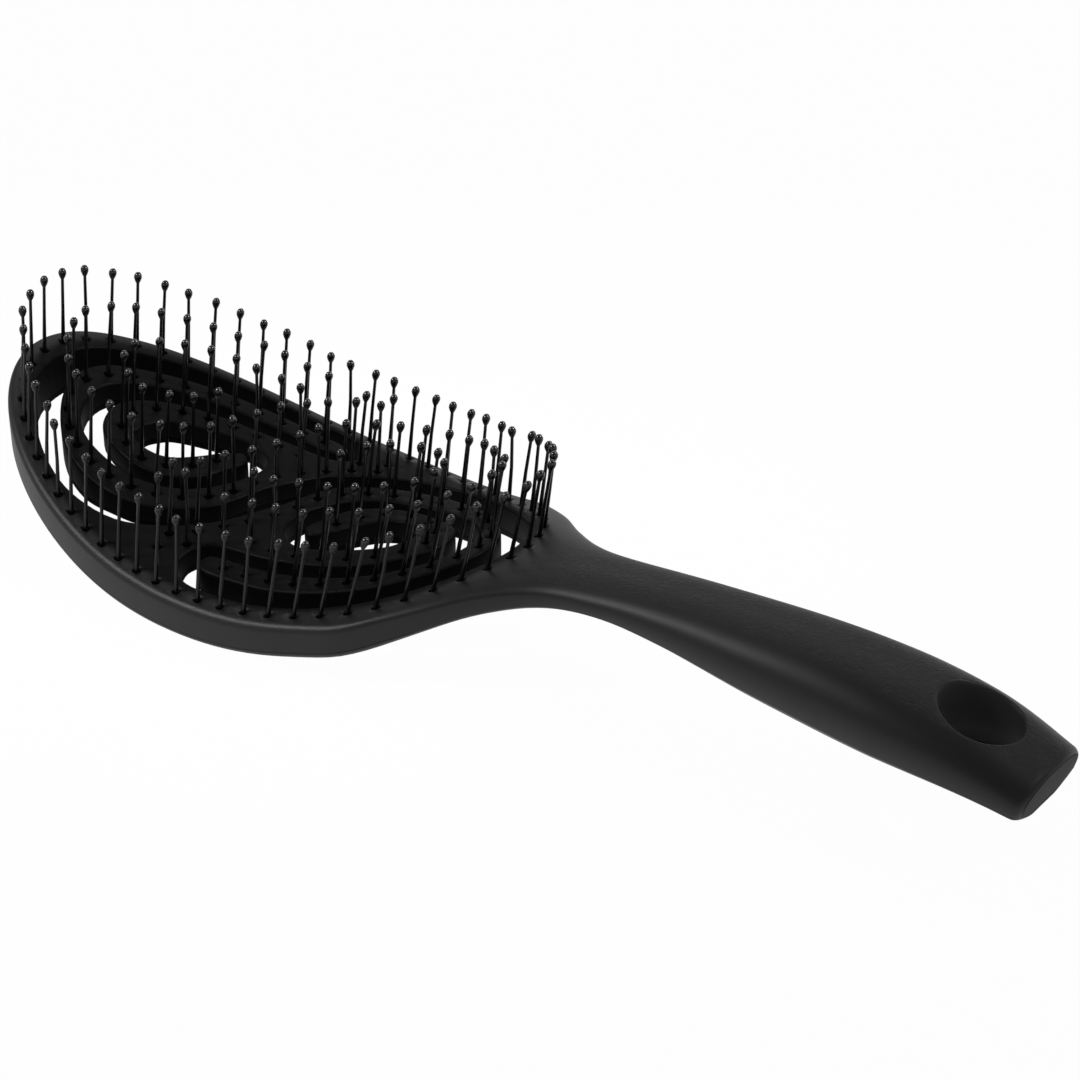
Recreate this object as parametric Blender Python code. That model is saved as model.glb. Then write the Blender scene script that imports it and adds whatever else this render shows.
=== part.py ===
"""A vented detangling hair brush, pins up, in metres.

The head is a saddle: bowed along its length to follow a scalp, domed across its
width. One S-shaped slit cuts it into nested springy arms, alike by a half turn.
The front shell and the back cover enclose nylon pin strips, and the ball-tipped
pins come up through clearance holes in the front shell.

x runs from the head's far end to the butt of the handle, y across, z up.
"""
import math

import bmesh
import bpy
from mathutils import Vector

# Overall sizes
LENGTH = 0.244
HEAD_LENGTH = 0.1402
HEAD_WIDTH = 0.0766
SPIRAL_OFFSET = 0.0034  # the slit's half-turn centre lies this far short of the head's middle

# Profiles run along the length: the head takes up the first part of them, the handle the rest
HEAD_END_SHARE = 0.57459

# Profile of the top: (share of the length, share of the rise)
TIP_RISE = 0.0172  # the head's far end above the lowest place of the bow
CREST_SHARES = [
    (0.000, 1.045), (0.049, 0.772), (0.136, 0.385), (0.216, 0.125), (0.295, 0.010),
    (0.375, 0.015), (0.454, 0.180), (0.534, 0.515), (0.614, 0.705), (0.713, 0.845),
    (0.833, 0.895), (0.930, 0.730), (1.000, 0.375),
]
DOME = 0.0045  # fall of the head's top from the middle to its widest edge

# Thickness: (share of the length, share of the handle's thickness)
HANDLE_THICKNESS = 0.0170
THICKNESS_SHARES = [
    (0.000, 0.565), (0.210, 0.490), (0.390, 0.430), (0.455, 0.415), (0.510, 0.405),
    (0.584, 0.415), (0.640, 0.480), (0.690, 0.620), (0.776, 0.875), (0.856, 0.965),
    (0.936, 0.815), (1.000, 0.530),
]
# Width of the handle: (share of the length, share of its full width)
HANDLE_WIDTH = 0.0254
WIDTH_SHARES = [
    (0.420, 2.760), (0.456, 2.500), (0.504, 1.880), (0.544, 1.240), (0.584, 0.830),
    (0.632, 0.724), (0.696, 0.760), (0.776, 0.882), (0.856, 0.976), (0.888, 1.000),
    (0.936, 0.976), (1.000, 0.850),
]
OVAL_END_SHARES = (0.42, 0.66)  # the oval passes into that width at these shares of its half length
NECK_BEFORE = 0.0252  # the head's section begins to turn into the handle's before the head's end
NECK_AFTER = 0.0148  # and has become the handle's after it
EDGE_RADIUS = 0.0016  # of the head's rounded edges
TOP_EDGE_SHARES = (0.84, 0.45)  # the handle's upper edges, in shares of its half width and thickness
LOWER_EDGE_SHARES = (0.60, 0.36)  # and its lower ones
LOWER_EDGE_POWER = 1.2  # which are nearly flat bevels: 1 is a bevel and 2 an ellipse
BUTT_RADIUS = 0.0024  # of the rounding towards the flat butt face
BUTT_TUCK_SHARE = 0.3  # of that rounding, seen from the side
BUTT_RAKE = 0.0022  # how far the butt face leans in from its top to its bottom
RAKE_RUN = 0.0072  # length over which the handle's end takes on that lean
SEAM_SHARE = 0.3  # the seam stays at least this share of the lower edge's rounding above the bottom

# Shells
FRONT_PLATE = 0.0022  # thickness of the front shell above the pin strips
BACK_COVER = 0.0015
ARM_THICKNESS = 0.0054  # of the head inside its rim, both shells together
RIM_INNER_SHARES = (0.66, 0.84)  # the underside rises to that between these shares of the head
LID_SHARE = 0.16  # the back cover's share of the handle's thickness
FIT_GAP = 0.0003
HANDLE_WALL = 0.0024
HOLLOW_START = 0.0248  # the hollow inside the handle begins this far past the head
HOLLOW_END = 0.0052  # and ends this far short of the butt
HOLLOW_TOP_SHARE = 0.55  # its flat top, as a share of its width
HOLLOW_MIDDLE_SHARE = 0.5  # it is widest at this share of the thickness

# Slit and hanging hole
SLIT_WIDTH = 0.0053
HOLE_LENGTH = 0.0156
HOLE_WIDTH = 0.0136
HOLE_INSET = 0.0150  # centre of the hanging hole, from the butt
BOSS_WALL = 0.0015  # of the tube round the hanging hole
BOSS_MEETING_SHARE = 0.64  # the two tubes meet at this share of the thickness
BOSS_ROOT = 0.0012  # how far the tubes sink into the wall that they stand on

# Pins and the strips that carry them
PIN_PITCH = 0.0055
PIN_LENGTH = 0.0176  # above the front shell
PIN_WIDTH = 0.0009
BALL_WIDTH = 0.0019
BALL_LENGTH = 0.0024
PIN_HOLE_WIDTH = 0.0018
HOLE_RELIEF = 0.0003  # how far a pin hole runs on below the plate
STRIP_WIDTH = 0.0022
STRIP_THICKNESS = 0.0010
STRIP_END = 0.0010  # a strip ends this much short of its last pin's half pitch
LEAN_SHARE = 0.12  # every pin leans towards the handle by this share of its height
LEAN_GROWTH_SHARE = 0.17  # and those of the near side, by the neck, by this much more
LEAN_FROM_SHARES = (0.05, 0.60)  # the lean grows between these shares of the head's half length
RIM_END_INSET = 0.0034  # of the rim's oval row of pins, from the head's far end
RIM_SIDE_INSET = 0.0028  # and from its sides
RIM_ROW_SKEW = 0.0025  # how far the row's sides are drawn towards the handle
RIM_STRIP_COUNT = 8
OUTER_STRIP_COUNT = 3
INNER_STRIP_COUNT = 2
ROOT_STRIP_COUNT = 1

# Centre line and width of one half of the slit, from the half-turn centre out along the
# rim, round the outer arm's tip, back inside it, round the inner arm's tip and into the
# vent, in shares of the head's half length, its half width and the slit's width
SLIT_SHARES = [
    (0.000, 0.000, 1.32), (-0.036, -0.216, 1.05), (-0.070, -0.346, 0.97),
    (-0.157, -0.512, 0.96), (-0.281, -0.636, 1.05), (-0.431, -0.657, 0.97),
    (-0.561, -0.588, 0.88), (-0.672, -0.458, 0.92), (-0.779, -0.257, 1.12),
    (-0.822, -0.025, 1.03), (-0.797, 0.186, 1.05), (-0.722, 0.356, 1.09),
    (-0.608, 0.527, 0.99), (-0.478, 0.654, 0.94), (-0.328, 0.743, 0.86),
    (-0.185, 0.782, 0.86), (-0.090, 0.792, 0.81), (-0.038, 0.751, 0.77),
    (-0.022, 0.670, 0.72), (-0.042, 0.591, 0.64), (-0.097, 0.558, 0.59),
    (-0.195, 0.532, 0.63), (-0.306, 0.484, 0.74), (-0.417, 0.415, 0.79),
    (-0.522, 0.308, 0.86), (-0.605, 0.165, 0.96), (-0.652, 0.000, 1.07),
    (-0.634, -0.176, 0.94), (-0.563, -0.313, 0.74), (-0.431, -0.372, 0.59),
    (-0.334, -0.354, 0.59), (-0.250, -0.277, 0.64), (-0.193, -0.153, 0.72),
    (-0.166, 0.000, 0.85), (-0.156, 0.122, 0.75), (-0.177, 0.211, 0.77),
    (-0.236, 0.247, 0.85), (-0.306, 0.160, 1.43), (-0.362, 0.056, 2.02),
    (-0.410, -0.038, 2.21), (-0.452, -0.107, 1.56), (-0.478, -0.150, 0.63),
]
# Pin rows: from the outer arm's tip into its root, the inner arm's, and a short root row
OUTER_ROW_SHARES = [
    (-0.092, 0.670), (-0.223, 0.644), (-0.362, 0.586), (-0.487, 0.481), (-0.591, 0.361),
    (-0.695, 0.178), (-0.740, 0.000), (-0.726, -0.165), (-0.668, -0.318), (-0.577, -0.440),
    (-0.459, -0.499), (-0.341, -0.484), (-0.236, -0.410), (-0.153, -0.293), (-0.106, -0.140),
    (-0.090, 0.038), (-0.056, 0.216), (0.000, 0.382), (0.058, 0.530), (0.132, 0.662),
]
INNER_ROW_SHARES = [
    (-0.236, 0.092), (-0.260, -0.051), (-0.299, -0.178), (-0.376, -0.265), (-0.459, -0.252),
    (-0.535, -0.153), (-0.556, -0.025), (-0.522, 0.122), (-0.445, 0.244), (-0.348, 0.336),
    (-0.236, 0.397), (-0.132, 0.420), (-0.074, 0.421),
]
ROOT_ROW_SHARES = [(0.004, 0.560), (0.043, 0.648), (0.090, 0.730), (0.124, 0.778)]

# How finely the shapes are cut
HEAD_STEPS = 15
NECK_STEPS = 9
HANDLE_STEPS = 11
BUTT_STEPS = 3
ACROSS_SHARES = (-1.0, -0.88, -0.78, -0.5, -0.18, 0.18, 0.5, 0.78, 0.88, 1.0)
TOP_EDGE_STEPS = 3
LOWER_EDGE_STEPS = 3
ROUND_SIDES = 24
ROUND_POWER = 2.0
PATH_STEPS = 12
SLIT_STEPS = 2
SLOPE_SHARE = 1e-6
WELD_SHARE = 1e-6

OVERRUN = 0.0040  # how far a cutter runs past what it cuts

HALF_LENGTH = LENGTH / 2
HEAD_HALF_LENGTH = HEAD_LENGTH / 2
HEAD_HALF_WIDTH = HEAD_WIDTH / 2
HEAD_MIDDLE = HEAD_HALF_LENGTH - HALF_LENGTH
SPIRAL_MIDDLE = HEAD_MIDDLE - SPIRAL_OFFSET
HOLE_MIDDLE = HALF_LENGTH - HOLE_INSET

SATIN_BLACK = ((0.020, 0.020, 0.021, 1.0), 0.42)
GLOSSY_BLACK = ((0.012, 0.012, 0.013, 1.0), 0.18)


def smooth_step(value, start, end):
    share = min(max((value - start) / (end - start), 0.0), 1.0)
    return share * share * (3.0 - 2.0 * share)


def blend(start, end, share):
    return start + (end - start) * share


def curve_point(before, start, end, after, share):
    """A point of the smooth curve that runs through start and end."""
    square = share * share
    cube = square * share
    point = []
    for a, b, c, d in zip(before, start, end, after):
        value = 2 * b + (c - a) * share + (2 * a - 5 * b + 4 * c - d) * square
        point.append((value + (3 * b - a - 3 * c + d) * cube) / 2)
    return tuple(point)


def smooth_path(points, steps):
    """Points of a smooth curve through the given ones, steps to each span."""
    first = tuple(2 * a - b for a, b in zip(points[0], points[1]))
    last = tuple(2 * a - b for a, b in zip(points[-1], points[-2]))
    chain = [first, *points, last]
    path = []
    for index in range(1, len(chain) - 2):
        for step in range(steps):
            path.append(curve_point(*chain[index - 1:index + 3], step / steps))
    path.append(tuple(points[-1]))
    return path


def read_profile(path, place):
    """Value of a profile, given as (place, value) points, at a place."""
    for (start, low), (end, high) in zip(path, path[1:]):
        if place <= end:
            return low + (high - low) * max(place - start, 0.0) / (end - start)
    return path[-1][1]


CREST_PATH = smooth_path(CREST_SHARES, PATH_STEPS)
THICKNESS_PATH = smooth_path(THICKNESS_SHARES, PATH_STEPS)
WIDTH_PATH = smooth_path(WIDTH_SHARES, PATH_STEPS)


def length_share(x):
    """Place of x in the profiles along the length."""
    run = x + HALF_LENGTH
    if run < HEAD_LENGTH:
        return HEAD_END_SHARE * run / HEAD_LENGTH
    return HEAD_END_SHARE + (1.0 - HEAD_END_SHARE) * (run - HEAD_LENGTH) / (LENGTH - HEAD_LENGTH)


def handle_share(x):
    """0 on the head and 1 on the handle, for what changes between them."""
    return smooth_step(x + HALF_LENGTH, HEAD_LENGTH - NECK_BEFORE, HEAD_LENGTH + NECK_AFTER)


def tuck(x):
    """How far the outline is drawn in by the rounding at the butt."""
    run = max(x - (HALF_LENGTH - BUTT_RADIUS), 0.0)
    return BUTT_RADIUS - math.sqrt(max(BUTT_RADIUS ** 2 - run ** 2, 0.0))


def half_width(x):
    """Half the body's width: the head's oval, run softly into the handle."""
    share = min(abs((x - HEAD_MIDDLE) / HEAD_HALF_LENGTH), 1.0)
    oval = HEAD_HALF_WIDTH * math.sqrt(1.0 - share * share)
    if x < HEAD_MIDDLE:
        return oval
    handle = HANDLE_WIDTH / 2 * read_profile(WIDTH_PATH, length_share(x))
    return oval + (handle - oval) * smooth_step(share, *OVAL_END_SHARES) - tuck(x)


def thickness(x):
    return HANDLE_THICKNESS * read_profile(THICKNESS_PATH, length_share(x))


def rise(x):
    """Height of the crown's middle line above the bow's lowest place."""
    return TIP_RISE * read_profile(CREST_PATH, length_share(x))


def fall(y):
    return DOME * (y / HEAD_HALF_WIDTH) ** 2


def top_depth(x):
    """Depth of the top below the crown: nothing but at the butt."""
    return BUTT_TUCK_SHARE * tuck(x)


def bottom_depth(x):
    return thickness(x) - BUTT_TUCK_SHARE * tuck(x)


def cover_depth(x):
    """Depth of the back cover's upper face."""
    share = handle_share(x)
    return thickness(x) - BACK_COVER * (1.0 - share) - LID_SHARE * thickness(x) * share


def split_depth(x):
    """Depth of the front shell's lower face."""
    return cover_depth(x) - FIT_GAP


def edge_size(x, shares):
    """Width and height of a rounded edge: one radius on the head, shares on the handle."""
    width_share, height_share = shares
    across = blend(EDGE_RADIUS, width_share * half_width(x), handle_share(x))
    height = bottom_depth(x) - top_depth(x)
    return across, blend(EDGE_RADIUS, height_share * height, handle_share(x))


def round_inset(size, power, reach):
    """How far the side lies in at a reach from the edge's flat end."""
    across, down = size
    share = min(max(1.0 - reach / down, 0.0), 1.0)
    return across * (1.0 - (1.0 - share ** power) ** (1.0 / power))


def edge_inset(x, depth):
    """How far the side lies in from the outline at a depth."""
    power = blend(ROUND_POWER, LOWER_EDGE_POWER, handle_share(x))
    upper = round_inset(edge_size(x, TOP_EDGE_SHARES), ROUND_POWER, depth - top_depth(x))
    lower = round_inset(edge_size(x, LOWER_EDGE_SHARES), power, bottom_depth(x) - depth)
    return max(upper, lower)


def stations():
    """Places of the cross-sections, from the head's far end to the butt."""
    places = []
    for step in range(HEAD_STEPS):
        turn = math.pi / 2 * step / HEAD_STEPS
        places.append(HEAD_MIDDLE - HEAD_HALF_LENGTH * math.cos(turn))
    for step in range(NECK_STEPS):
        turn = math.pi / 2 * step / NECK_STEPS
        places.append(HEAD_MIDDLE + HEAD_HALF_LENGTH * math.sin(turn))
    start = HEAD_MIDDLE + HEAD_HALF_LENGTH
    end = HALF_LENGTH - BUTT_RADIUS
    for step in range(HANDLE_STEPS):
        places.append(start + (end - start) * step / HANDLE_STEPS)
    for step in range(BUTT_STEPS + 1):
        turn = math.pi / 2 * step / BUTT_STEPS
        places.append(end + BUTT_RADIUS * math.sin(turn))
    return places


def lowest(x):
    """Depth of the body's lowest line at x below the bow's lowest place."""
    return bottom_depth(x) + fall(half_width(x) - edge_size(x, LOWER_EDGE_SHARES)[0]) - rise(x)


REST_HEIGHT = max(lowest(x) for x in stations())


def crown(x, y):
    """Height of the top above the ground, before its edges are rounded."""
    return REST_HEIGHT + rise(x) - fall(y)


def raised(x, y):
    """How far the underside lies above its edges' depth: inside the rim the head is thin."""
    reach = math.hypot((x - SPIRAL_MIDDLE) / HEAD_HALF_LENGTH, y / HEAD_HALF_WIDTH)
    inner = (1.0 - smooth_step(reach, *RIM_INNER_SHARES)) * (1.0 - handle_share(x))
    return max(thickness(x) - ARM_THICKNESS, 0.0) * inner


def lean_in(x, y, depth):
    """How far a point moves towards the head, for the raked butt."""
    rake = BUTT_RAKE / thickness(HALF_LENGTH) * smooth_step(x, HALF_LENGTH - RAKE_RUN, HALF_LENGTH)
    return rake * (depth + fall(y) - top_depth(HALF_LENGTH))


def body_point(x, y, depth):
    return Vector((x - lean_in(x, y, depth), y, crown(x, y) - depth))


def side_place(x, inset):
    """The point of the far side's outline at x, drawn in by an inset."""
    step = LENGTH * SLOPE_SHARE
    slope = (half_width(x + step) - half_width(x)) / step
    turn = math.atan(slope) * (1.0 - handle_share(x))
    return x + inset * math.sin(turn), half_width(x) - inset * math.cos(turn)


def flat_points(x, depth, lifts):
    """A row across the body at a depth less its lifts, from its near side to its far side."""
    place, reach = side_place(x, edge_inset(x, depth))
    points = []
    for share, lift in zip(ACROSS_SHARES, lifts):
        points.append(body_point(place, max(reach, 0.0) * share, depth - lift))
    return points


def row_lifts(x):
    """Lifts across the underside at x, the same for both shells so that they nest."""
    place, reach = side_place(x, edge_inset(x, seam_depth(x)))
    return [raised(place, max(reach, 0.0) * share) for share in ACROSS_SHARES]


def side_points(x, depths):
    """Points down the far side, at depths below the crown."""
    points = []
    for depth in depths:
        place, y = side_place(x, edge_inset(x, depth))
        points.append(body_point(place, max(y, 0.0), depth))
    return points


def near_points(points):
    """The near side's points, going back up."""
    return [Vector((p.x, -p.y, p.z)) for p in reversed(points)]


def seam_depth(x):
    """Depth of the front shell's lower face, kept above the rounding underneath."""
    down = edge_size(x, LOWER_EDGE_SHARES)[1]
    return min(split_depth(x), bottom_depth(x) - down * SEAM_SHARE)


def edge_reaches(size, steps):
    """Reaches over a rounded edge, closer together at its flat end."""
    across, down = size
    reaches = []
    for step in range(1, steps + 1):
        reaches.append(down * (1.0 - math.cos(math.pi / 2 * step / steps)))
    return reaches


def lower_depths(x):
    """Depths down the lower edge."""
    reaches = edge_reaches(edge_size(x, LOWER_EDGE_SHARES), LOWER_EDGE_STEPS)
    return [bottom_depth(x) - reach for reach in reversed(reaches)]


def front_section(x):
    seam = seam_depth(x)
    upper = edge_reaches(edge_size(x, TOP_EDGE_SHARES), TOP_EDGE_STEPS)
    depths = [top_depth(x) + reach for reach in upper]
    depths += [min(depth, seam) for depth in lower_depths(x)]
    side = side_points(x, depths)
    top = flat_points(x, top_depth(x), [0.0] * len(ACROSS_SHARES))
    bottom = flat_points(x, seam, row_lifts(x))
    return top + side + bottom[::-1] + near_points(side)


def back_section(x):
    seam = seam_depth(x) + FIT_GAP
    side = side_points(x, [max(depth, seam) for depth in lower_depths(x)])
    top = flat_points(x, seam, row_lifts(x))
    bottom = flat_points(x, bottom_depth(x), row_lifts(x))
    return top + side + bottom[::-1] + near_points(side)


def hollow_section(x):
    """The room inside the handle, open towards the back cover."""
    wide = half_width(x) - HANDLE_WALL
    corners = [
        (wide * HOLLOW_TOP_SHARE, top_depth(x) + HANDLE_WALL),
        (wide, thickness(x) * HOLLOW_MIDDLE_SHARE),
        (wide - edge_inset(x, seam_depth(x)), bottom_depth(x) + OVERRUN),
    ]
    far = [body_point(x, y, depth) for y, depth in corners]
    return far + near_points(far)


def new_object(name, bm, material, collection):
    bmesh.ops.recalc_face_normals(bm, faces=bm.faces[:])
    mesh = bpy.data.meshes.new(name)
    bm.to_mesh(mesh)
    bm.free()
    thing = bpy.data.objects.new(name, mesh)
    collection.objects.link(thing)
    if material:
        mesh.materials.append(material)
    else:
        thing.hide_render = True
        thing.hide_viewport = False
        thing.display_type = 'WIRE'
    return thing


def loft(sections):
    """A closed body through cross-sections with the same number of points."""
    bm = bmesh.new()
    rows = len(sections) - 1
    columns = len(sections[0])
    bmesh.ops.create_grid(bm, x_segments=rows, y_segments=columns, size=1)
    for vertex in bm.verts:
        row = round((vertex.co.x + 1) / 2 * rows)
        column = round((vertex.co.y + 1) / 2 * columns)
        vertex.co = sections[row][column % columns]
    bmesh.ops.remove_doubles(bm, verts=bm.verts[:], dist=LENGTH * WELD_SHARE)
    edges = [edge for edge in bm.edges if edge.is_boundary]
    bmesh.ops.holes_fill(bm, edges=edges, sides=0)
    bmesh.ops.triangulate(bm, faces=bm.faces[:], quad_method='SHORT_EDGE')
    return bm


def material_of(name, look):
    colour, roughness = look
    material = bpy.data.materials.new(name)
    material.use_nodes = True
    shader = material.node_tree.nodes['Principled BSDF']
    shader.inputs['Base Color'].default_value = colour
    shader.inputs['Roughness'].default_value = roughness
    shader.inputs['Metallic'].default_value = 0.0
    return material


def head_path(shares):
    """Plan points of a row given in shares of the head's half sizes."""
    points = [(SPIRAL_MIDDLE + u * HEAD_HALF_LENGTH, v * HEAD_HALF_WIDTH) for u, v in shares]
    return smooth_path(points, PATH_STEPS)


def half_turn(points):
    return [(2 * SPIRAL_MIDDLE - x, -y) for x, y in points]


def slit_outline():
    """Outline of the whole slit, as plan points."""
    line = []
    for u, v, width in SLIT_SHARES:
        line.append((SPIRAL_MIDDLE + u * HEAD_HALF_LENGTH, v * HEAD_HALF_WIDTH, width * SLIT_WIDTH / 2))
    path = smooth_path(line, SLIT_STEPS)
    right, left = [], []
    for index, (x, y, half) in enumerate(path):
        ahead = path[min(index + 1, len(path) - 1)]
        behind = path[index - 1] if index else (2 * SPIRAL_MIDDLE - ahead[0], -ahead[1])
        way = Vector((ahead[0] - behind[0], ahead[1] - behind[1])).normalized()
        right.append((x - way.y * half, y + way.x * half))
        left.append((x + way.y * half, y - way.x * half))
    chain = right + left[:0:-1]
    return chain + half_turn(chain)


def prism(name, outline, low, high, collection):
    """An upright cutter with the given plan outline."""
    curve = bpy.data.curves.new(name, 'CURVE')
    curve.dimensions = '2D'
    curve.fill_mode = 'BOTH'
    curve.extrude = (high - low) / 2
    spline = curve.splines.new('POLY')
    spline.points.add(len(outline) - 1)
    for point, (x, y) in zip(spline.points, outline):
        point.co = (x, y, 0.0, 1.0)
    spline.use_cyclic_u = True
    holder = bpy.data.objects.new(name, curve)
    collection.objects.link(holder)
    bpy.context.view_layer.update()
    graph = bpy.context.evaluated_depsgraph_get()
    mesh = bpy.data.meshes.new_from_object(holder.evaluated_get(graph))
    bpy.data.objects.remove(holder)
    bm = bmesh.new()
    bm.from_mesh(mesh)
    bmesh.ops.translate(bm, verts=bm.verts[:], vec=(0.0, 0.0, (high + low) / 2))
    bmesh.ops.remove_doubles(bm, verts=bm.verts[:], dist=LENGTH * WELD_SHARE)
    return new_object(name, bm, None, collection)


def oval_tube(name, margin, upper, lower, collection):
    """An upright oval cylinder round the hanging hole, between two depths."""
    bm = bmesh.new()
    bmesh.ops.create_cone(bm, cap_ends=True, segments=ROUND_SIDES, radius1=1, radius2=1, depth=2)
    for vertex in bm.verts:
        x = HOLE_MIDDLE + vertex.co.x * (HOLE_LENGTH / 2 + margin)
        y = vertex.co.y * (HOLE_WIDTH / 2 + margin)
        depth = upper(x) if vertex.co.z > 0 else lower(x)
        vertex.co = (x, y, crown(x, 0.0) - depth)
    return new_object(name, bm, None, collection)


def cut(body, tool, operation):
    modifier = body.modifiers.new(tool.name, 'BOOLEAN')
    modifier.operation = operation
    modifier.object = tool
    modifier.solver = 'EXACT'


def row_lengths(path):
    lengths = [0.0]
    for start, end in zip(path, path[1:]):
        lengths.append(lengths[-1] + math.dist(start, end))
    return lengths


def place_on(path, lengths, distance):
    """Point and direction of a row at a distance along it."""
    index = 1
    while index < len(path) - 1 and lengths[index] < distance:
        index += 1
    start = Vector(path[index - 1])
    way = Vector(path[index]) - start
    share = (distance - lengths[index - 1]) / (lengths[index] - lengths[index - 1])
    return start + way * share, way.normalized()


def strip_places(path, count):
    """Splits a row into strips: for each the cell borders and the pin places."""
    lengths = row_lengths(path)
    pins = round(lengths[-1] / PIN_PITCH)
    pitch = lengths[-1] / pins
    strips = []
    for index in range(count):
        first = round(pins * index / count)
        last = round(pins * (index + 1) / count)
        borders = [pitch * number for number in range(first, last + 1)]
        borders[0] += STRIP_END / 2
        borders[-1] -= STRIP_END / 2
        middles = [pitch * (number + 0.5) for number in range(first, last)]
        cells = [place_on(path, lengths, distance) for distance in borders]
        roots = [place_on(path, lengths, distance) for distance in middles]
        strips.append((cells, roots))
    return strips


def lean_at(x, y):
    """Sideways travel towards the handle for each unit of a pin's height."""
    start, end = (HEAD_MIDDLE + share * HEAD_HALF_LENGTH for share in LEAN_FROM_SHARES)
    near = smooth_step(-y, -HEAD_HALF_WIDTH, HEAD_HALF_WIDTH)
    return LEAN_SHARE + LEAN_GROWTH_SHARE * smooth_step(x, start, end) * near


def pin_ring_point(root, way, along, aside, height):
    """A corner of a pin's square section at a height above the crown."""
    lean = lean_at(root.x, root.y)
    x = root.x + lean * height + way.x * along - way.y * aside
    y = root.y + way.y * along + way.x * aside
    return Vector((x, y, crown(root.x, root.y) + height))


def strip_box(cells, width, upper, lower):
    """A bar that follows a row and the crown, between two depths."""
    bm = bmesh.new()
    count = len(cells) - 1
    bmesh.ops.create_grid(bm, x_segments=count, y_segments=1, size=1)
    grown = bmesh.ops.extrude_face_region(bm, geom=bm.faces[:])
    for thing in grown['geom']:
        if isinstance(thing, bmesh.types.BMVert):
            thing.co.z = 1.0
    tops = [face for face in bm.faces if all(vertex.co.z > 0 for vertex in face.verts)]
    tops.sort(key=lambda face: face.calc_center_median().x)
    for vertex in bm.verts:
        place, way = cells[round((vertex.co.x + 1) / 2 * count)]
        x = place.x - way.y * vertex.co.y * width / 2
        y = place.y + way.x * vertex.co.y * width / 2
        depth = upper(x) if vertex.co.z > 0 else lower(x)
        vertex.co = (x, y, crown(x, y) - depth)
    return bm, tops


def place_ring(face, root, way, half, height):
    """Squares up the corners of a face round a pin's axis."""
    centre = face.calc_center_median().xy
    for vertex in face.verts:
        offset = vertex.co.xy - centre
        along = math.copysign(half, offset.dot(way))
        aside = math.copysign(half, way.cross(offset))
        vertex.co = pin_ring_point(root, way, along, aside, height)


def raise_pin(bm, face, root, way):
    """Grows a ball-tipped pin out of one cell of a strip."""
    depth = FRONT_PLATE + FIT_GAP
    bmesh.ops.inset_individual(bm, faces=[face], thickness=PIN_WIDTH / 2)
    place_ring(face, root, way, PIN_WIDTH / 2, -depth)
    for vertex in face.verts:
        vertex.co.z = crown(vertex.co.x, vertex.co.y) - depth
    profile = [(PIN_WIDTH / 2, PIN_LENGTH - BALL_LENGTH), (BALL_WIDTH / 2, PIN_LENGTH - BALL_LENGTH / 2)]
    for half, height in profile:
        corners = [vertex.co.copy() for vertex in face.verts]
        face = bmesh.ops.extrude_discrete_faces(bm, faces=[face])['faces'][0]
        for vertex, corner in zip(face.verts, corners):
            vertex.co = corner
        place_ring(face, root, way, half, height)
    apex = bmesh.ops.poke(bm, faces=[face])['verts'][0]
    apex.co = pin_ring_point(root, way, 0.0, 0.0, PIN_LENGTH)


def pin_strip(name, cells, roots, material, collection):
    upper = FRONT_PLATE + FIT_GAP
    bm, tops = strip_box(cells, STRIP_WIDTH, lambda x: upper, lambda x: upper + STRIP_THICKNESS)
    for face, (root, way) in zip(tops, roots):
        raise_pin(bm, face, root, way)
    return new_object(name, bm, material, collection)


def grown_cells(cells):
    """The same cells with both ends moved out by the fit gap."""
    (first, first_way), (last, last_way) = cells[0], cells[-1]
    start = (first - first_way * FIT_GAP, first_way)
    end = (last + last_way * FIT_GAP, last_way)
    return [start, *cells[1:-1], end]


def joined(name, parts, collection):
    """One cutter from several separate solids."""
    whole = bmesh.new()
    for bm in parts:
        mesh = bpy.data.meshes.new(name)
        bm.to_mesh(mesh)
        bm.free()
        whole.from_mesh(mesh)
        bpy.data.meshes.remove(mesh)
    return new_object(name, whole, None, collection)


def pocket_cutter(strips, collection):
    parts = []
    for cells, roots in strips:
        places = grown_cells(cells)
        width = STRIP_WIDTH + 2 * FIT_GAP
        bm, tops = strip_box(places, width, lambda x: FRONT_PLATE, lambda x: bottom_depth(x) + OVERRUN)
        parts.append(bm)
    return joined('cut_pockets', parts, collection)


def pin_hole(root, way):
    """A square hole along a pin, from above the plate to below its lower face."""
    bm = bmesh.new()
    bmesh.ops.create_cube(bm, size=2)
    for vertex in bm.verts:
        along = vertex.co.x * PIN_HOLE_WIDTH / 2
        aside = vertex.co.y * PIN_HOLE_WIDTH / 2
        height = OVERRUN
        if vertex.co.z < 0:
            below = pin_ring_point(root, way, along, aside, -FRONT_PLATE)
            height = crown(below.x, below.y) - FRONT_PLATE - HOLE_RELIEF - crown(root.x, root.y)
        vertex.co = pin_ring_point(root, way, along, aside, height)
    return bm


def pin_hole_cutter(strips, collection):
    parts = [pin_hole(root, way) for cells, roots in strips for root, way in roots]
    return joined('cut_pin_holes', parts, collection)


def rim_path():
    along = HEAD_HALF_LENGTH - SPIRAL_OFFSET - RIM_END_INSET
    aside = HEAD_HALF_WIDTH - RIM_SIDE_INSET
    points = []
    for step in range(ROUND_SIDES * PATH_STEPS + 1):
        turn = 2 * math.pi * step / (ROUND_SIDES * PATH_STEPS)
        x = SPIRAL_MIDDLE - along * math.cos(turn) + RIM_ROW_SKEW * math.sin(turn) ** 2
        points.append((x, -aside * math.sin(turn)))
    return points


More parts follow.
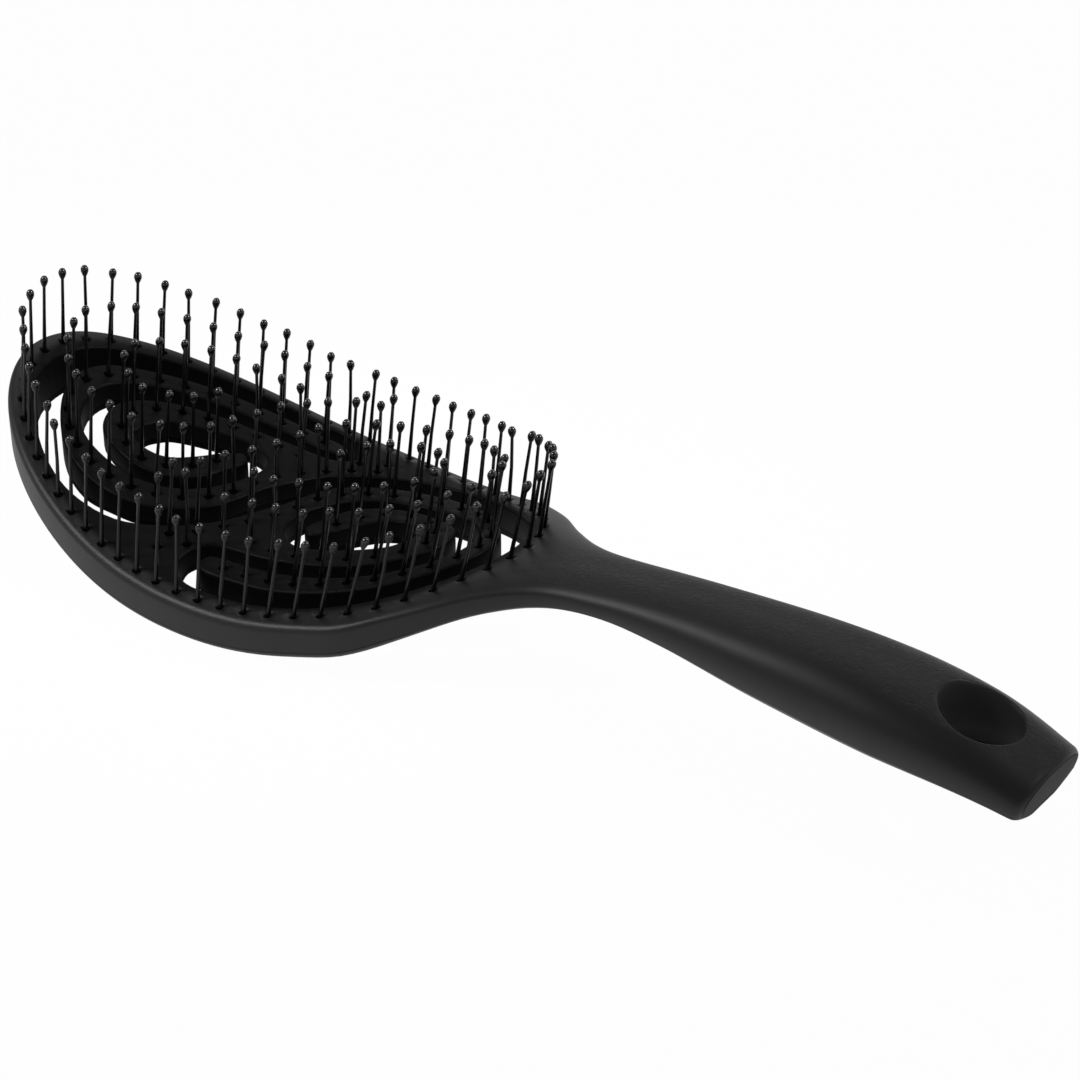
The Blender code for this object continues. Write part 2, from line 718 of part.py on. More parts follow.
def named_strips():
    """Every strip of the head as (name, cells, roots)."""
    rows = [('rim', rim_path(), RIM_STRIP_COUNT)]
    for side, turned in (('tip', False), ('neck', True)):
        for label, shares, count in (
            ('outer_arm', OUTER_ROW_SHARES, OUTER_STRIP_COUNT),
            ('inner_arm', INNER_ROW_SHARES, INNER_STRIP_COUNT),
            ('root', ROOT_ROW_SHARES, ROOT_STRIP_COUNT),
        ):
            path = head_path(shares)
            rows.append((side + '_' + label, half_turn(path) if turned else path, count))
    found = []
    for label, path, count in rows:
        for number, (cells, roots) in enumerate(strip_places(path, count), 1):
            found.append(('pin_strip_' + label + '_' + str(number), cells, roots))
    return found


def hollow_cutter(collection):
    start = HEAD_LENGTH + HOLLOW_START - HALF_LENGTH
    end = HALF_LENGTH - HOLLOW_END
    sections = []
    for step in range(HANDLE_STEPS + 1):
        sections.append(hollow_section(start + (end - start) * step / HANDLE_STEPS))
    return new_object('cut_hollow', loft(sections), None, collection)


def slit_cutter(collection):
    tall = crown(-HALF_LENGTH, 0.0) + OVERRUN
    return prism('cut_slit', slit_outline(), -OVERRUN, tall, collection)


def meeting_depth(x):
    """Depth at which the two tubes round the hanging hole meet."""
    return thickness(x) * BOSS_MEETING_SHARE


def upper_boss(collection):
    return oval_tube('add_upper_boss', BOSS_WALL, lambda x: BOSS_ROOT, meeting_depth, collection)


def lower_boss(collection):
    upper = lambda x: meeting_depth(x) + FIT_GAP
    lower = lambda x: cover_depth(x) + BOSS_ROOT
    return oval_tube('add_lower_boss', BOSS_WALL, upper, lower, collection)


def boss_room(collection):
    """Clearance round the lower tube inside the front shell."""
    upper = lambda x: meeting_depth(x) - FIT_GAP
    lower = lambda x: bottom_depth(x) + OVERRUN
    return oval_tube('cut_boss_room', BOSS_WALL + FIT_GAP, upper, lower, collection)


def hanging_hole(collection):
    return oval_tube('cut_hanging_hole', 0.0, lambda x: -OVERRUN, lambda x: thickness(x) + OVERRUN, collection)


def build_shells(strips, parts, tools):
    satin = material_of('front_shell_plastic', SATIN_BLACK)
    cover = material_of('back_cover_plastic', SATIN_BLACK)
    places = stations()
    front = new_object('front_shell', loft([front_section(x) for x in places]), satin, parts)
    back = new_object('back_cover', loft([back_section(x) for x in places]), cover, parts)
    rows = [(cells, roots) for name, cells, roots in strips]
    hole = hanging_hole(tools)
    slit = slit_cutter(tools)
    cut(front, hollow_cutter(tools), 'DIFFERENCE')
    cut(front, boss_room(tools), 'DIFFERENCE')
    cut(front, upper_boss(tools), 'UNION')
    cut(back, lower_boss(tools), 'UNION')
    for shell in (front, back):
        cut(shell, hole, 'DIFFERENCE')
        cut(shell, slit, 'DIFFERENCE')
    cut(front, pocket_cutter(rows, tools), 'DIFFERENCE')
    cut(front, pin_hole_cutter(rows, tools), 'DIFFERENCE')


def main():
    for thing in list(bpy.data.objects):
        bpy.data.objects.remove(thing)
    parts = bpy.data.collections.new('vented_hair_brush')
    tools = bpy.data.collections.new('cutters')
    bpy.context.scene.collection.children.link(parts)
    bpy.context.scene.collection.children.link(tools)
    strips = named_strips()
    build_shells(strips, parts, tools)
    for name, cells, roots in strips:
        nylon = material_of(name + '_nylon', GLOSSY_BLACK)
        pin_strip(name, cells, roots, nylon, parts)


main()
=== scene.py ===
# %% [markdown]
# # A vented detangling hair brush
#
# This lesson dresses a hair brush: a bowed oval head cut by one S-shaped slit into
# nested springy arms, rows of ball-tipped nylon pins, and a slim handle with a
# leather grain and a hanging hole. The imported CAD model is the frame. Every piece
# made here goes where the CAD says, in metres, with +Z up along the pins.

# %% Load the frame
import math
import random

import bmesh
import bpy
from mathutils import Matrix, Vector


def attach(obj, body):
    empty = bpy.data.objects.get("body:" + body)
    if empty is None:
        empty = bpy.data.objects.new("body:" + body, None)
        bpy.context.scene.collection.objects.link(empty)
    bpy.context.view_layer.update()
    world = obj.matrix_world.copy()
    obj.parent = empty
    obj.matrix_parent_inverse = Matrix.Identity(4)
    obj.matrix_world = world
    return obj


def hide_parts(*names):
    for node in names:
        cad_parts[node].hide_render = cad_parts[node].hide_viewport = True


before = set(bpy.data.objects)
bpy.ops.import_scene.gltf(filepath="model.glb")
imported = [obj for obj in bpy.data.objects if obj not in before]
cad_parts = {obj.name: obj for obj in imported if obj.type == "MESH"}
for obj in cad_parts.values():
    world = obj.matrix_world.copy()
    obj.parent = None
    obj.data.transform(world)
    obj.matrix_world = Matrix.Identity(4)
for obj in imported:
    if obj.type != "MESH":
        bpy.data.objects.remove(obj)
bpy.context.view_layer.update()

# %% [markdown]
# ## Sizes of the brush
#
# The overall form comes from a few smooth profiles along the length: how high the
# middle line of the top runs, how thick the body is, and how wide the handle is.
# They are the CAD's own values, so the dressed brush fills the same space. Only
# the curves are cut more finely here, the butt's rounding is tighter, and the
# hanging hole is a touch shorter and wider.

# %% Sizes
LENGTH = 0.244
HEAD_LENGTH = 0.1402
HEAD_WIDTH = 0.0766
SPIRAL_OFFSET = 0.0034  # the slit's half-turn centre lies this far short of the head's middle
HEAD_END_SHARE = 0.57459  # profiles give the head this much of their run
TIP_RISE = 0.0172  # the head's far end above the lowest place of the bow
CREST_SHARES = [
    (0.000, 1.045), (0.049, 0.772), (0.136, 0.385), (0.216, 0.125), (0.295, 0.010),
    (0.375, 0.015), (0.454, 0.180), (0.534, 0.515), (0.614, 0.705), (0.713, 0.845),
    (0.833, 0.895), (0.930, 0.730), (1.000, 0.375),
]
DOME = 0.0045  # fall of the head's top from its middle to its widest edge
HANDLE_THICKNESS = 0.0170
THICKNESS_SHARES = [
    (0.000, 0.565), (0.210, 0.490), (0.390, 0.430), (0.455, 0.415), (0.510, 0.405),
    (0.584, 0.415), (0.640, 0.480), (0.690, 0.620), (0.776, 0.875), (0.856, 0.965),
    (0.936, 0.815), (1.000, 0.530),
]
HANDLE_WIDTH = 0.0254
WIDTH_SHARES = [
    (0.420, 2.760), (0.456, 2.500), (0.504, 1.880), (0.544, 1.240), (0.584, 0.830),
    (0.632, 0.724), (0.696, 0.760), (0.776, 0.882), (0.856, 0.976), (0.888, 1.000),
    (0.936, 0.976), (1.000, 0.850),
]
OVAL_END_SHARES = (0.42, 0.66)  # the oval runs into the handle between these shares
NECK_BEFORE = 0.0252
NECK_AFTER = 0.0148
EDGE_RADIUS = 0.0016  # of the head's rounded edges
TOP_EDGE_SHARES = (0.84, 0.45)  # the handle's, in shares of its half width and height
LOWER_EDGE_SHARES = (0.60, 0.36)
ROUND_POWER = 2.0
LOWER_EDGE_POWER = 1.2  # 1 would be a flat bevel and 2 an ellipse
BUTT_RADIUS = 0.0016
BUTT_TUCK_SHARE = 0.45
BUTT_RAKE = 0.0022  # how far the butt face leans in
RAKE_RUN = 0.0072
SEAM_SHARE = 0.3
FRONT_PLATE = 0.0022
BACK_COVER = 0.0015
ARM_THICKNESS = 0.0054
RIM_INNER_SHARES = (0.66, 0.84)
LID_SHARE = 0.16  # the back cover's share of the handle's thickness
SEAM = 0.0001
FIT_GAP = 0.0003
PATH_STEPS = 24
WELD_SHARE = 1e-6

HALF_LENGTH = LENGTH / 2
HEAD_HALF_LENGTH = HEAD_LENGTH / 2
HEAD_HALF_WIDTH = HEAD_WIDTH / 2
HEAD_MIDDLE = HEAD_HALF_LENGTH - HALF_LENGTH
SPIRAL_MIDDLE = HEAD_MIDDLE - SPIRAL_OFFSET


# %% Smooth curves
def smooth_step(value, start, end):
    share = min(max((value - start) / (end - start), 0.0), 1.0)
    return share * share * (3.0 - 2.0 * share)


def curve_point(before, start, end, after, share):
    """A point of the smooth curve that runs through start and end."""
    square = share * share
    cube = square * share
    point = []
    for a, b, c, d in zip(before, start, end, after):
        value = 2 * b + (c - a) * share + (2 * a - 5 * b + 4 * c - d) * square
        point.append((value + (3 * b - a - 3 * c + d) * cube) / 2)
    return tuple(point)


def smooth_path(points, steps):
    first = tuple(2 * a - b for a, b in zip(points[0], points[1]))
    last = tuple(2 * a - b for a, b in zip(points[-1], points[-2]))
    chain = [first, *points, last]
    path = []
    for index in range(1, len(chain) - 2):
        for step in range(steps):
            path.append(curve_point(*chain[index - 1:index + 3], step / steps))
    path.append(tuple(points[-1]))
    return path


def read_profile(path, place):
    for (start, low), (end, high) in zip(path, path[1:]):
        if place <= end:
            return low + (high - low) * max(place - start, 0.0) / (end - start)
    return path[-1][1]


CREST_PATH = smooth_path(CREST_SHARES, PATH_STEPS)
THICKNESS_PATH = smooth_path(THICKNESS_SHARES, PATH_STEPS)
WIDTH_PATH = smooth_path(WIDTH_SHARES, PATH_STEPS)
print("profile points", len(CREST_PATH), len(THICKNESS_PATH), len(WIDTH_PATH))


# %% Profiles of the body
def length_share(x):
    """Place of x in the profiles: the head takes their first part, the handle the rest."""
    run = x + HALF_LENGTH
    if run < HEAD_LENGTH:
        return HEAD_END_SHARE * run / HEAD_LENGTH
    return HEAD_END_SHARE + (1.0 - HEAD_END_SHARE) * (run - HEAD_LENGTH) / (LENGTH - HEAD_LENGTH)


def handle_share(x):
    """0 on the head and 1 on the handle, for what changes between them."""
    return smooth_step(x + HALF_LENGTH, HEAD_LENGTH - NECK_BEFORE, HEAD_LENGTH + NECK_AFTER)


def tuck(x):
    """How far the rounding at the butt draws the outline in."""
    run = max(x - (HALF_LENGTH - BUTT_RADIUS), 0.0)
    return BUTT_RADIUS - math.sqrt(max(BUTT_RADIUS ** 2 - run ** 2, 0.0))


def half_width(x):
    """Half the width of the body: the head's oval, run softly into the handle."""
    share = min(abs((x - HEAD_MIDDLE) / HEAD_HALF_LENGTH), 1.0)
    oval = HEAD_HALF_WIDTH * math.sqrt(1.0 - share * share)
    if x < HEAD_MIDDLE:
        return oval
    handle = HANDLE_WIDTH / 2 * read_profile(WIDTH_PATH, length_share(x))
    return oval + (handle - oval) * smooth_step(share, *OVAL_END_SHARES) - tuck(x)


def thickness(x):
    return HANDLE_THICKNESS * read_profile(THICKNESS_PATH, length_share(x))


def rise(x):
    return TIP_RISE * read_profile(CREST_PATH, length_share(x))


def fall(y):
    return DOME * (y / HEAD_HALF_WIDTH) ** 2


def top_depth(x):
    return BUTT_TUCK_SHARE * tuck(x)


def bottom_depth(x):
    return thickness(x) - BUTT_TUCK_SHARE * tuck(x)


def cover_depth(x):
    """Depth of the back cover's upper face below the crown."""
    share = handle_share(x)
    return thickness(x) - BACK_COVER * (1.0 - share) - LID_SHARE * thickness(x) * share


# %% Rounded edges
def between(start, end, share):
    return start + (end - start) * share


def edge_size(x, shares):
    """Width and height of a rounded edge: one radius on the head, shares on the handle."""
    width_share, height_share = shares
    share = handle_share(x)
    across = between(EDGE_RADIUS, width_share * half_width(x), share)
    height = bottom_depth(x) - top_depth(x)
    return across, between(EDGE_RADIUS, height_share * height, share)


def round_inset(size, power, reach):
    """How far the side lies in at a reach from the edge's flat end."""
    across, down = size
    share = min(max(1.0 - reach / down, 0.0), 1.0)
    return across * (1.0 - (1.0 - share ** power) ** (1.0 / power))


def edge_inset(x, depth):
    """How far the side lies in at a depth: the handle's lower edges are nearly flat bevels."""
    power = between(ROUND_POWER, LOWER_EDGE_POWER, handle_share(x))
    upper = round_inset(edge_size(x, TOP_EDGE_SHARES), ROUND_POWER, depth - top_depth(x))
    lower = round_inset(edge_size(x, LOWER_EDGE_SHARES), power, bottom_depth(x) - depth)
    return max(upper, lower)


def seam_depth(x):
    """Depth of the front shell's lower face, kept above the rounding underneath."""
    down = edge_size(x, LOWER_EDGE_SHARES)[1]
    return min(cover_depth(x) - SEAM, bottom_depth(x) - down * SEAM_SHARE)


print("handle's widest half width, mm", round(1000 * half_width(HALF_LENGTH * 0.75), 2))


# %% [markdown]
# ## From profiles to a body
#
# The body is a loft: one closed cross-section every millimetre or two, from the
# head's far end to the butt of the handle. A flat grid from `create_grid` is laid
# onto the sections, row by row, so the operator makes all the faces. The sections
# stand closer together at both ends, where the outline turns fastest.

# %% Cross-sections
HEAD_STEPS = 64
NECK_STEPS = 40
HANDLE_STEPS = 60
BUTT_STEPS = 12
ACROSS_STEPS = 36
CORNER_STEPS = 10
LOWER_STEPS = 12


def stations():
    """Places of the cross-sections, from the head's far end to the butt."""
    places = []
    for step in range(HEAD_STEPS):
        turn = math.pi / 2 * step / HEAD_STEPS
        places.append(HEAD_MIDDLE - HEAD_HALF_LENGTH * math.cos(turn))
    for step in range(NECK_STEPS):
        turn = math.pi / 2 * step / NECK_STEPS
        places.append(HEAD_MIDDLE + HEAD_HALF_LENGTH * math.sin(turn))
    start = HEAD_MIDDLE + HEAD_HALF_LENGTH
    end = HALF_LENGTH - BUTT_RADIUS
    for step in range(HANDLE_STEPS):
        places.append(start + (end - start) * step / HANDLE_STEPS)
    for step in range(BUTT_STEPS + 1):
        turn = math.pi / 2 * step / BUTT_STEPS
        places.append(end + BUTT_RADIUS * math.sin(turn))
    return places


def lowest(x):
    """Depth of the body's lowest line at x below the bow's lowest place."""
    across = edge_size(x, LOWER_EDGE_SHARES)[0]
    return bottom_depth(x) + fall(half_width(x) - across) - rise(x)


STATIONS = stations()
REST_HEIGHT = max(lowest(x) for x in STATIONS)


def crown(x, y):
    """Height of the top above the ground, before its edges are rounded."""
    return REST_HEIGHT + rise(x) - fall(y)


def raised(x, y):
    """How far the underside lies above its edges' depth: inside the rim the head is thin."""
    reach = math.hypot((x - SPIRAL_MIDDLE) / HEAD_HALF_LENGTH, y / HEAD_HALF_WIDTH)
    inner = (1.0 - smooth_step(reach, *RIM_INNER_SHARES)) * (1.0 - handle_share(x))
    return max(thickness(x) - ARM_THICKNESS, 0.0) * inner


def body_point(x, y, depth):
    """A point below the crown, drawn in towards the head where the butt leans."""
    rake = BUTT_RAKE / thickness(HALF_LENGTH) * smooth_step(x, HALF_LENGTH - RAKE_RUN, HALF_LENGTH)
    lean = rake * (depth + fall(y) - top_depth(HALF_LENGTH))
    return Vector((x - lean, y, crown(x, y) - depth))


def side_place(x, inset):
    """The point of the far side's outline at x, drawn in by an inset."""
    step = LENGTH * WELD_SHARE
    slope = (half_width(x + step) - half_width(x)) / step
    turn = math.atan(slope) * (1.0 - handle_share(x))
    return x + inset * math.sin(turn), half_width(x) - inset * math.cos(turn)


def flat_points(x, depth, lifted):
    """A row of points across the body, lifted inside the rim where asked."""
    place, reach = side_place(x, edge_inset(x, depth))
    points = []
    for step in range(ACROSS_STEPS + 1):
        y = max(reach, 0.0) * (2 * step / ACROSS_STEPS - 1)
        points.append(body_point(place, y, depth - (raised(place, y) if lifted else 0.0)))
    return points


def side_points(x, depths):
    """Points down the far side, at depths below the crown."""
    points = []
    for depth in depths:
        place, y = side_place(x, edge_inset(x, depth))
        points.append(body_point(place, max(y, 0.0), depth))
    return points


def near_points(points):
    return [Vector((p.x, -p.y, p.z)) for p in reversed(points)]


def edge_reaches(down, steps):
    """Reaches over a rounded edge of a given height, closer together at its flat end."""
    return [down * (1.0 - math.cos(math.pi / 2 * step / steps)) for step in range(1, steps + 1)]


def lower_depths(x, seam):
    """Depths round the lower edge: above the seam, then below it."""
    down = edge_size(x, LOWER_EDGE_SHARES)[1]
    depths = [bottom_depth(x) - reach for reach in reversed(edge_reaches(down, LOWER_STEPS))]
    return [min(depth, seam) for depth in depths], [max(depth, seam) for depth in depths]


def front_section(x):
    seam = seam_depth(x)
    down = edge_size(x, TOP_EDGE_SHARES)[1]
    depths = [top_depth(x) + reach for reach in edge_reaches(down, CORNER_STEPS)]
    side = side_points(x, depths + lower_depths(x, seam)[0])
    bottom = flat_points(x, seam, True)
    return flat_points(x, top_depth(x), False) + side + bottom[::-1] + near_points(side)


def back_section(x):
    seam = seam_depth(x) + SEAM
    side = side_points(x, lower_depths(x, seam)[1])
    bottom = flat_points(x, bottom_depth(x), True)
    return flat_points(x, seam, True) + side + bottom[::-1] + near_points(side)


print("cross-sections", len(STATIONS), "points in one", len(front_section(0.0)))

# %% Meshes and objects
WELD = LENGTH * WELD_SHARE
CREASE = math.radians(62)


def new_piece(name, bm):
    bmesh.ops.recalc_face_normals(bm, faces=bm.faces[:])
    for face in bm.faces:
        face.smooth = True
    mesh = bpy.data.meshes.new(name)
    bm.to_mesh(mesh)
    bm.free()
    piece = bpy.data.objects.new(name, mesh)
    bpy.context.scene.collection.objects.link(piece)
    return piece


def loft(sections):
    """A closed body through cross-sections with the same number of points."""
    bm = bmesh.new()
    rows = len(sections) - 1
    columns = len(sections[0])
    bmesh.ops.create_grid(bm, x_segments=rows, y_segments=columns, size=1)
    for vertex in bm.verts:
        row = round((vertex.co.x + 1) / 2 * rows)
        column = round((vertex.co.y + 1) / 2 * columns)
        vertex.co = sections[row][column % columns]
    bmesh.ops.remove_doubles(bm, verts=bm.verts[:], dist=WELD)
    edges = [edge for edge in bm.edges if edge.is_boundary]
    bmesh.ops.holes_fill(bm, edges=edges, sides=0)
    bmesh.ops.triangulate(bm, faces=bm.faces[:], quad_method="SHORT_EDGE")
    return bm


def carved(body, tools):
    """Cuts every tool out of a body for good and removes the tools."""
    for tool in tools:
        modifier = body.modifiers.new(tool.name, "BOOLEAN")
        modifier.operation = "DIFFERENCE"
        modifier.object = tool
        modifier.solver = "MANIFOLD"
    bpy.context.view_layer.update()
    graph = bpy.context.evaluated_depsgraph_get()
    mesh = bpy.data.meshes.new_from_object(body.evaluated_get(graph))
    body.modifiers.clear()
    body.data = mesh
    for tool in tools:
        bpy.data.objects.remove(tool)
    mesh.set_sharp_from_angle(angle=CREASE)
    print(body.name, len(mesh.polygons), "faces")
    return body


# %% [markdown]
# ## The slit with softly rounded lips
#
# One S-shaped slit, alike by a half turn, frees the spiral arms. A cutter with
# straight walls would leave knife edges, but the moulding has lips of about
# 0.7 mm. So the cutter itself flares: its outline is drawn several times, each a
# little wider as it comes up to the surface, along a quarter circle.

# %% Slit sizes
SLIT_WIDTH = 0.0053
SLIT_LIP = 0.0007
SLIT_STEPS = 5
LIP_STEPS = 5
LIP_START = math.radians(14)
LIP_FLARE = 0.0010
TIP_STEPS = 6
TIP_ROUND_SHARE = 0.4
OVERRUN = 0.0040  # how far a cutter runs past what it cuts
SLIT_SHARES = [
    (0.000, 0.000, 1.32), (-0.036, -0.216, 1.05), (-0.070, -0.346, 0.97),
    (-0.157, -0.512, 0.96), (-0.281, -0.636, 1.05), (-0.431, -0.657, 0.97),
    (-0.561, -0.588, 0.88), (-0.672, -0.458, 0.92), (-0.779, -0.257, 1.12),
    (-0.822, -0.025, 1.03), (-0.797, 0.186, 1.05), (-0.722, 0.356, 1.09),
    (-0.608, 0.527, 0.99), (-0.478, 0.654, 0.94), (-0.328, 0.743, 0.86),
    (-0.185, 0.782, 0.86), (-0.090, 0.792, 0.81), (-0.038, 0.751, 0.77),
    (-0.022, 0.670, 0.72), (-0.042, 0.591, 0.64), (-0.097, 0.558, 0.59),
    (-0.195, 0.532, 0.63), (-0.306, 0.484, 0.74), (-0.417, 0.415, 0.79),
    (-0.522, 0.308, 0.86), (-0.605, 0.165, 0.96), (-0.652, 0.000, 1.07),
    (-0.634, -0.176, 0.94), (-0.563, -0.313, 0.74), (-0.431, -0.372, 0.59),
    (-0.334, -0.354, 0.59), (-0.250, -0.277, 0.64), (-0.193, -0.153, 0.72),
    (-0.166, 0.000, 0.85), (-0.156, 0.122, 0.75), (-0.177, 0.211, 0.77),
    (-0.236, 0.247, 0.85), (-0.306, 0.160, 1.43), (-0.362, 0.056, 2.02),
    (-0.410, -0.038, 2.21), (-0.452, -0.107, 1.56), (-0.478, -0.150, 0.63),
]


# %% Slit outline
def half_turn(points):
    return [(2 * SPIRAL_MIDDLE - x, -y) for x, y in points]


def round_tip(x, y, way, half, extra):
    """Points round the slit's far tip, from its right side to its left."""
    points = []
    for step in range(1, TIP_STEPS):
        turn = math.pi * step / TIP_STEPS
        ahead = (half * TIP_ROUND_SHARE + extra) * math.sin(turn)
        aside = (half + extra) * math.cos(turn)
        points.append((x - way.y * aside + way.x * ahead, y + way.x * aside + way.y * ahead))
    return points


def slit_outline(extra):
    """Outline of the whole slit, as plan points, widened by an extra on each side."""
    line = [(SPIRAL_MIDDLE + u * HEAD_HALF_LENGTH, v * HEAD_HALF_WIDTH, width * SLIT_WIDTH / 2)
            for u, v, width in SLIT_SHARES]
    path = smooth_path(line, SLIT_STEPS)
    right, left = [], []
    for index, (x, y, half) in enumerate(path):
        ahead = path[min(index + 1, len(path) - 1)]
        behind = path[index - 1] if index else (2 * SPIRAL_MIDDLE - ahead[0], -ahead[1])
        way = Vector((ahead[0] - behind[0], ahead[1] - behind[1])).normalized()
        reach = half + extra
        right.append((x - way.y * reach, y + way.x * reach))
        left.append((x + way.y * reach, y - way.x * reach))
    chain = right + round_tip(x, y, way, half, extra) + left[:0:-1]
    return chain + half_turn(chain)


def lip_levels(lip):
    """(widening, depth) pairs from above the surface to the bottom of a rounded lip."""
    turns = [between(LIP_START, math.pi / 2, step / LIP_STEPS) for step in range(LIP_STEPS + 1)]
    levels = [(lip * (1 - math.sin(turn)), lip * (1 - math.cos(turn))) for turn in turns]
    wide = levels[0][0] + LIP_FLARE * math.cos(LIP_START)
    high = levels[0][1] - LIP_FLARE * math.sin(LIP_START)
    return [(wide, high - OVERRUN), (wide, high), *levels]


def slit_cutter(name, upper, lower, top_lip, bottom_lip):
    """A flared cutter between two depth functions, with rounded lips where asked."""
    straight = [(0.0, -OVERRUN)]
    levels = []
    for extra, depth in lip_levels(SLIT_LIP) if top_lip else straight:
        levels.append((extra, upper, depth))
    for extra, depth in reversed(lip_levels(SLIT_LIP) if bottom_lip else straight):
        levels.append((extra, lower, -depth))
    sections = []
    for extra, base, depth in levels:
        section = []
        for x, y in slit_outline(extra):
            section.append(Vector((x, y, crown(x, y) - base(x, y) - depth)))
        sections.append(section)
    return new_piece(name, loft(sections))


print("slit outline points", len(slit_outline(0.0)))

# %% [markdown]
# ## Rows of pins
#
# The pins stand in rows: one all round the rim, and on each half of the head one
# along the outer spiral arm, one along the inner arm and a short one at the root.
# Each row is a smooth path, split into strips as the hidden nylon backings are.

# %% Row sizes
PIN_PITCH = 0.0055
PIN_LENGTH = 0.0176
STRIP_WIDTH = 0.0022
STRIP_THICKNESS = 0.0010
STRIP_END = 0.0010
LEAN_SHARE = 0.12
LEAN_GROWTH_SHARE = 0.17
LEAN_FROM_SHARES = (0.05, 0.60)
RIM_END_INSET = 0.0034
RIM_SIDE_INSET = 0.0028
RIM_ROW_SKEW = 0.0025
RIM_STRIP_COUNT = 8
OUTER_STRIP_COUNT = 3
INNER_STRIP_COUNT = 2
ROOT_STRIP_COUNT = 1
ROW_STEPS = 12
RIM_STEPS = 288
OUTER_ROW_SHARES = [
    (-0.092, 0.670), (-0.223, 0.644), (-0.362, 0.586), (-0.487, 0.481), (-0.591, 0.361),
    (-0.695, 0.178), (-0.740, 0.000), (-0.726, -0.165), (-0.668, -0.318), (-0.577, -0.440),
    (-0.459, -0.499), (-0.341, -0.484), (-0.236, -0.410), (-0.153, -0.293), (-0.106, -0.140),
    (-0.090, 0.038), (-0.056, 0.216), (0.000, 0.382), (0.058, 0.530), (0.132, 0.662),
]
INNER_ROW_SHARES = [
    (-0.236, 0.092), (-0.260, -0.051), (-0.299, -0.178), (-0.376, -0.265), (-0.459, -0.252),
    (-0.535, -0.153), (-0.556, -0.025), (-0.522, 0.122), (-0.445, 0.244), (-0.348, 0.336),
    (-0.236, 0.397), (-0.132, 0.420), (-0.074, 0.421),
]
ROOT_ROW_SHARES = [(0.004, 0.560), (0.043, 0.648), (0.090, 0.730), (0.124, 0.778)]


# %% Paths of the rows
def head_path(shares):
    points = [(SPIRAL_MIDDLE + u * HEAD_HALF_LENGTH, v * HEAD_HALF_WIDTH) for u, v in shares]
    return smooth_path(points, ROW_STEPS)


def rim_path():
    along = HEAD_HALF_LENGTH - SPIRAL_OFFSET - RIM_END_INSET
    aside = HEAD_HALF_WIDTH - RIM_SIDE_INSET
    points = []
    for step in range(RIM_STEPS + 1):
        turn = 2 * math.pi * step / RIM_STEPS
        x = SPIRAL_MIDDLE - along * math.cos(turn) + RIM_ROW_SKEW * math.sin(turn) ** 2
        points.append((x, -aside * math.sin(turn)))
    return points


def place_on(path, lengths, distance):
    """Point and direction of a row at a distance along it."""
    index = 1
    while index < len(path) - 1 and lengths[index] < distance:
        index += 1
    start = Vector(path[index - 1])
    way = Vector(path[index]) - start
    share = (distance - lengths[index - 1]) / (lengths[index] - lengths[index - 1])
    return start + way * share, way.normalized()


# %% Strips of each row
def strip_places(path, count):
    """Splits a row into strips: for each the cell borders and the pin places."""
    lengths = [0.0]
    for start, end in zip(path, path[1:]):
        lengths.append(lengths[-1] + math.dist(start, end))
    pins = round(lengths[-1] / PIN_PITCH)
    pitch = lengths[-1] / pins
    strips = []
    for index in range(count):
        first = round(pins * index / count)
        last = round(pins * (index + 1) / count)
        borders = [pitch * number for number in range(first, last + 1)]
        borders[0] += STRIP_END / 2
        borders[-1] -= STRIP_END / 2
        middles = [pitch * (number + 0.5) for number in range(first, last)]
        cells = [place_on(path, lengths, distance) for distance in borders]
        roots = [place_on(path, lengths, distance) for distance in middles]
        strips.append((cells, roots))
    return strips


def named_strips():
    """Every strip of the head as (name, cells, roots)."""
    rows = [("rim", rim_path(), RIM_STRIP_COUNT)]
    for side, turned in (("tip", False), ("neck", True)):
        for label, shares, count in (
            ("outer_arm", OUTER_ROW_SHARES, OUTER_STRIP_COUNT),
            ("inner_arm", INNER_ROW_SHARES, INNER_STRIP_COUNT),
            ("root", ROOT_ROW_SHARES, ROOT_STRIP_COUNT),
        ):
            path = head_path(shares)
            rows.append((side + "_" + label, half_turn(path) if turned else path, count))
    found = []
    for label, path, count in rows:
        for number, (cells, roots) in enumerate(strip_places(path, count), 1):
            found.append((label + "_" + str(number), cells, roots))
    return found


STRIPS = named_strips()
print("pins", sum(len(roots) for name, cells, roots in STRIPS))


# %% Leaning axes
def lean_at(x, y):
    """Sideways travel towards the handle for each unit of a pin's height."""
    start, end = (HEAD_MIDDLE + share * HEAD_HALF_LENGTH for share in LEAN_FROM_SHARES)
    near = smooth_step(-y, -HEAD_HALF_WIDTH, HEAD_HALF_WIDTH)
    return LEAN_SHARE + LEAN_GROWTH_SHARE * smooth_step(x, start, end) * near


def along_pin(root, height):
    """Centre of a pin at a height above the top of the shell."""
    lean = lean_at(root.x, root.y)
    return Vector((root.x + lean * height, root.y, crown(root.x, root.y) + height))


print("lean beside the neck", round(lean_at(0.0, -HEAD_HALF_WIDTH), 2))

# %% [markdown]
# ## Holes and pockets in the front shell
#
# Each pin comes up through a round clearance hole with a tiny lip. Below the plate
# the shell is pocketed for the pin backings. Each hole cutter grows from a disc
# of `create_circle`, extruded ring by ring along the leaning pin. The disc moves
# up with the extrusion, so the bottom is closed again at the end.

# %% Cutters for the pins
PIN_HOLE_RADIUS = 0.00088
PIN_HOLE_LIP = 0.00016
PIN_HOLE_FLARE = 3 * PIN_HOLE_LIP
PIN_HOLE_TOP = 2 * PIN_HOLE_LIP
PIN_HOLE_SIDES = 14
HOLE_RELIEF = 0.0004


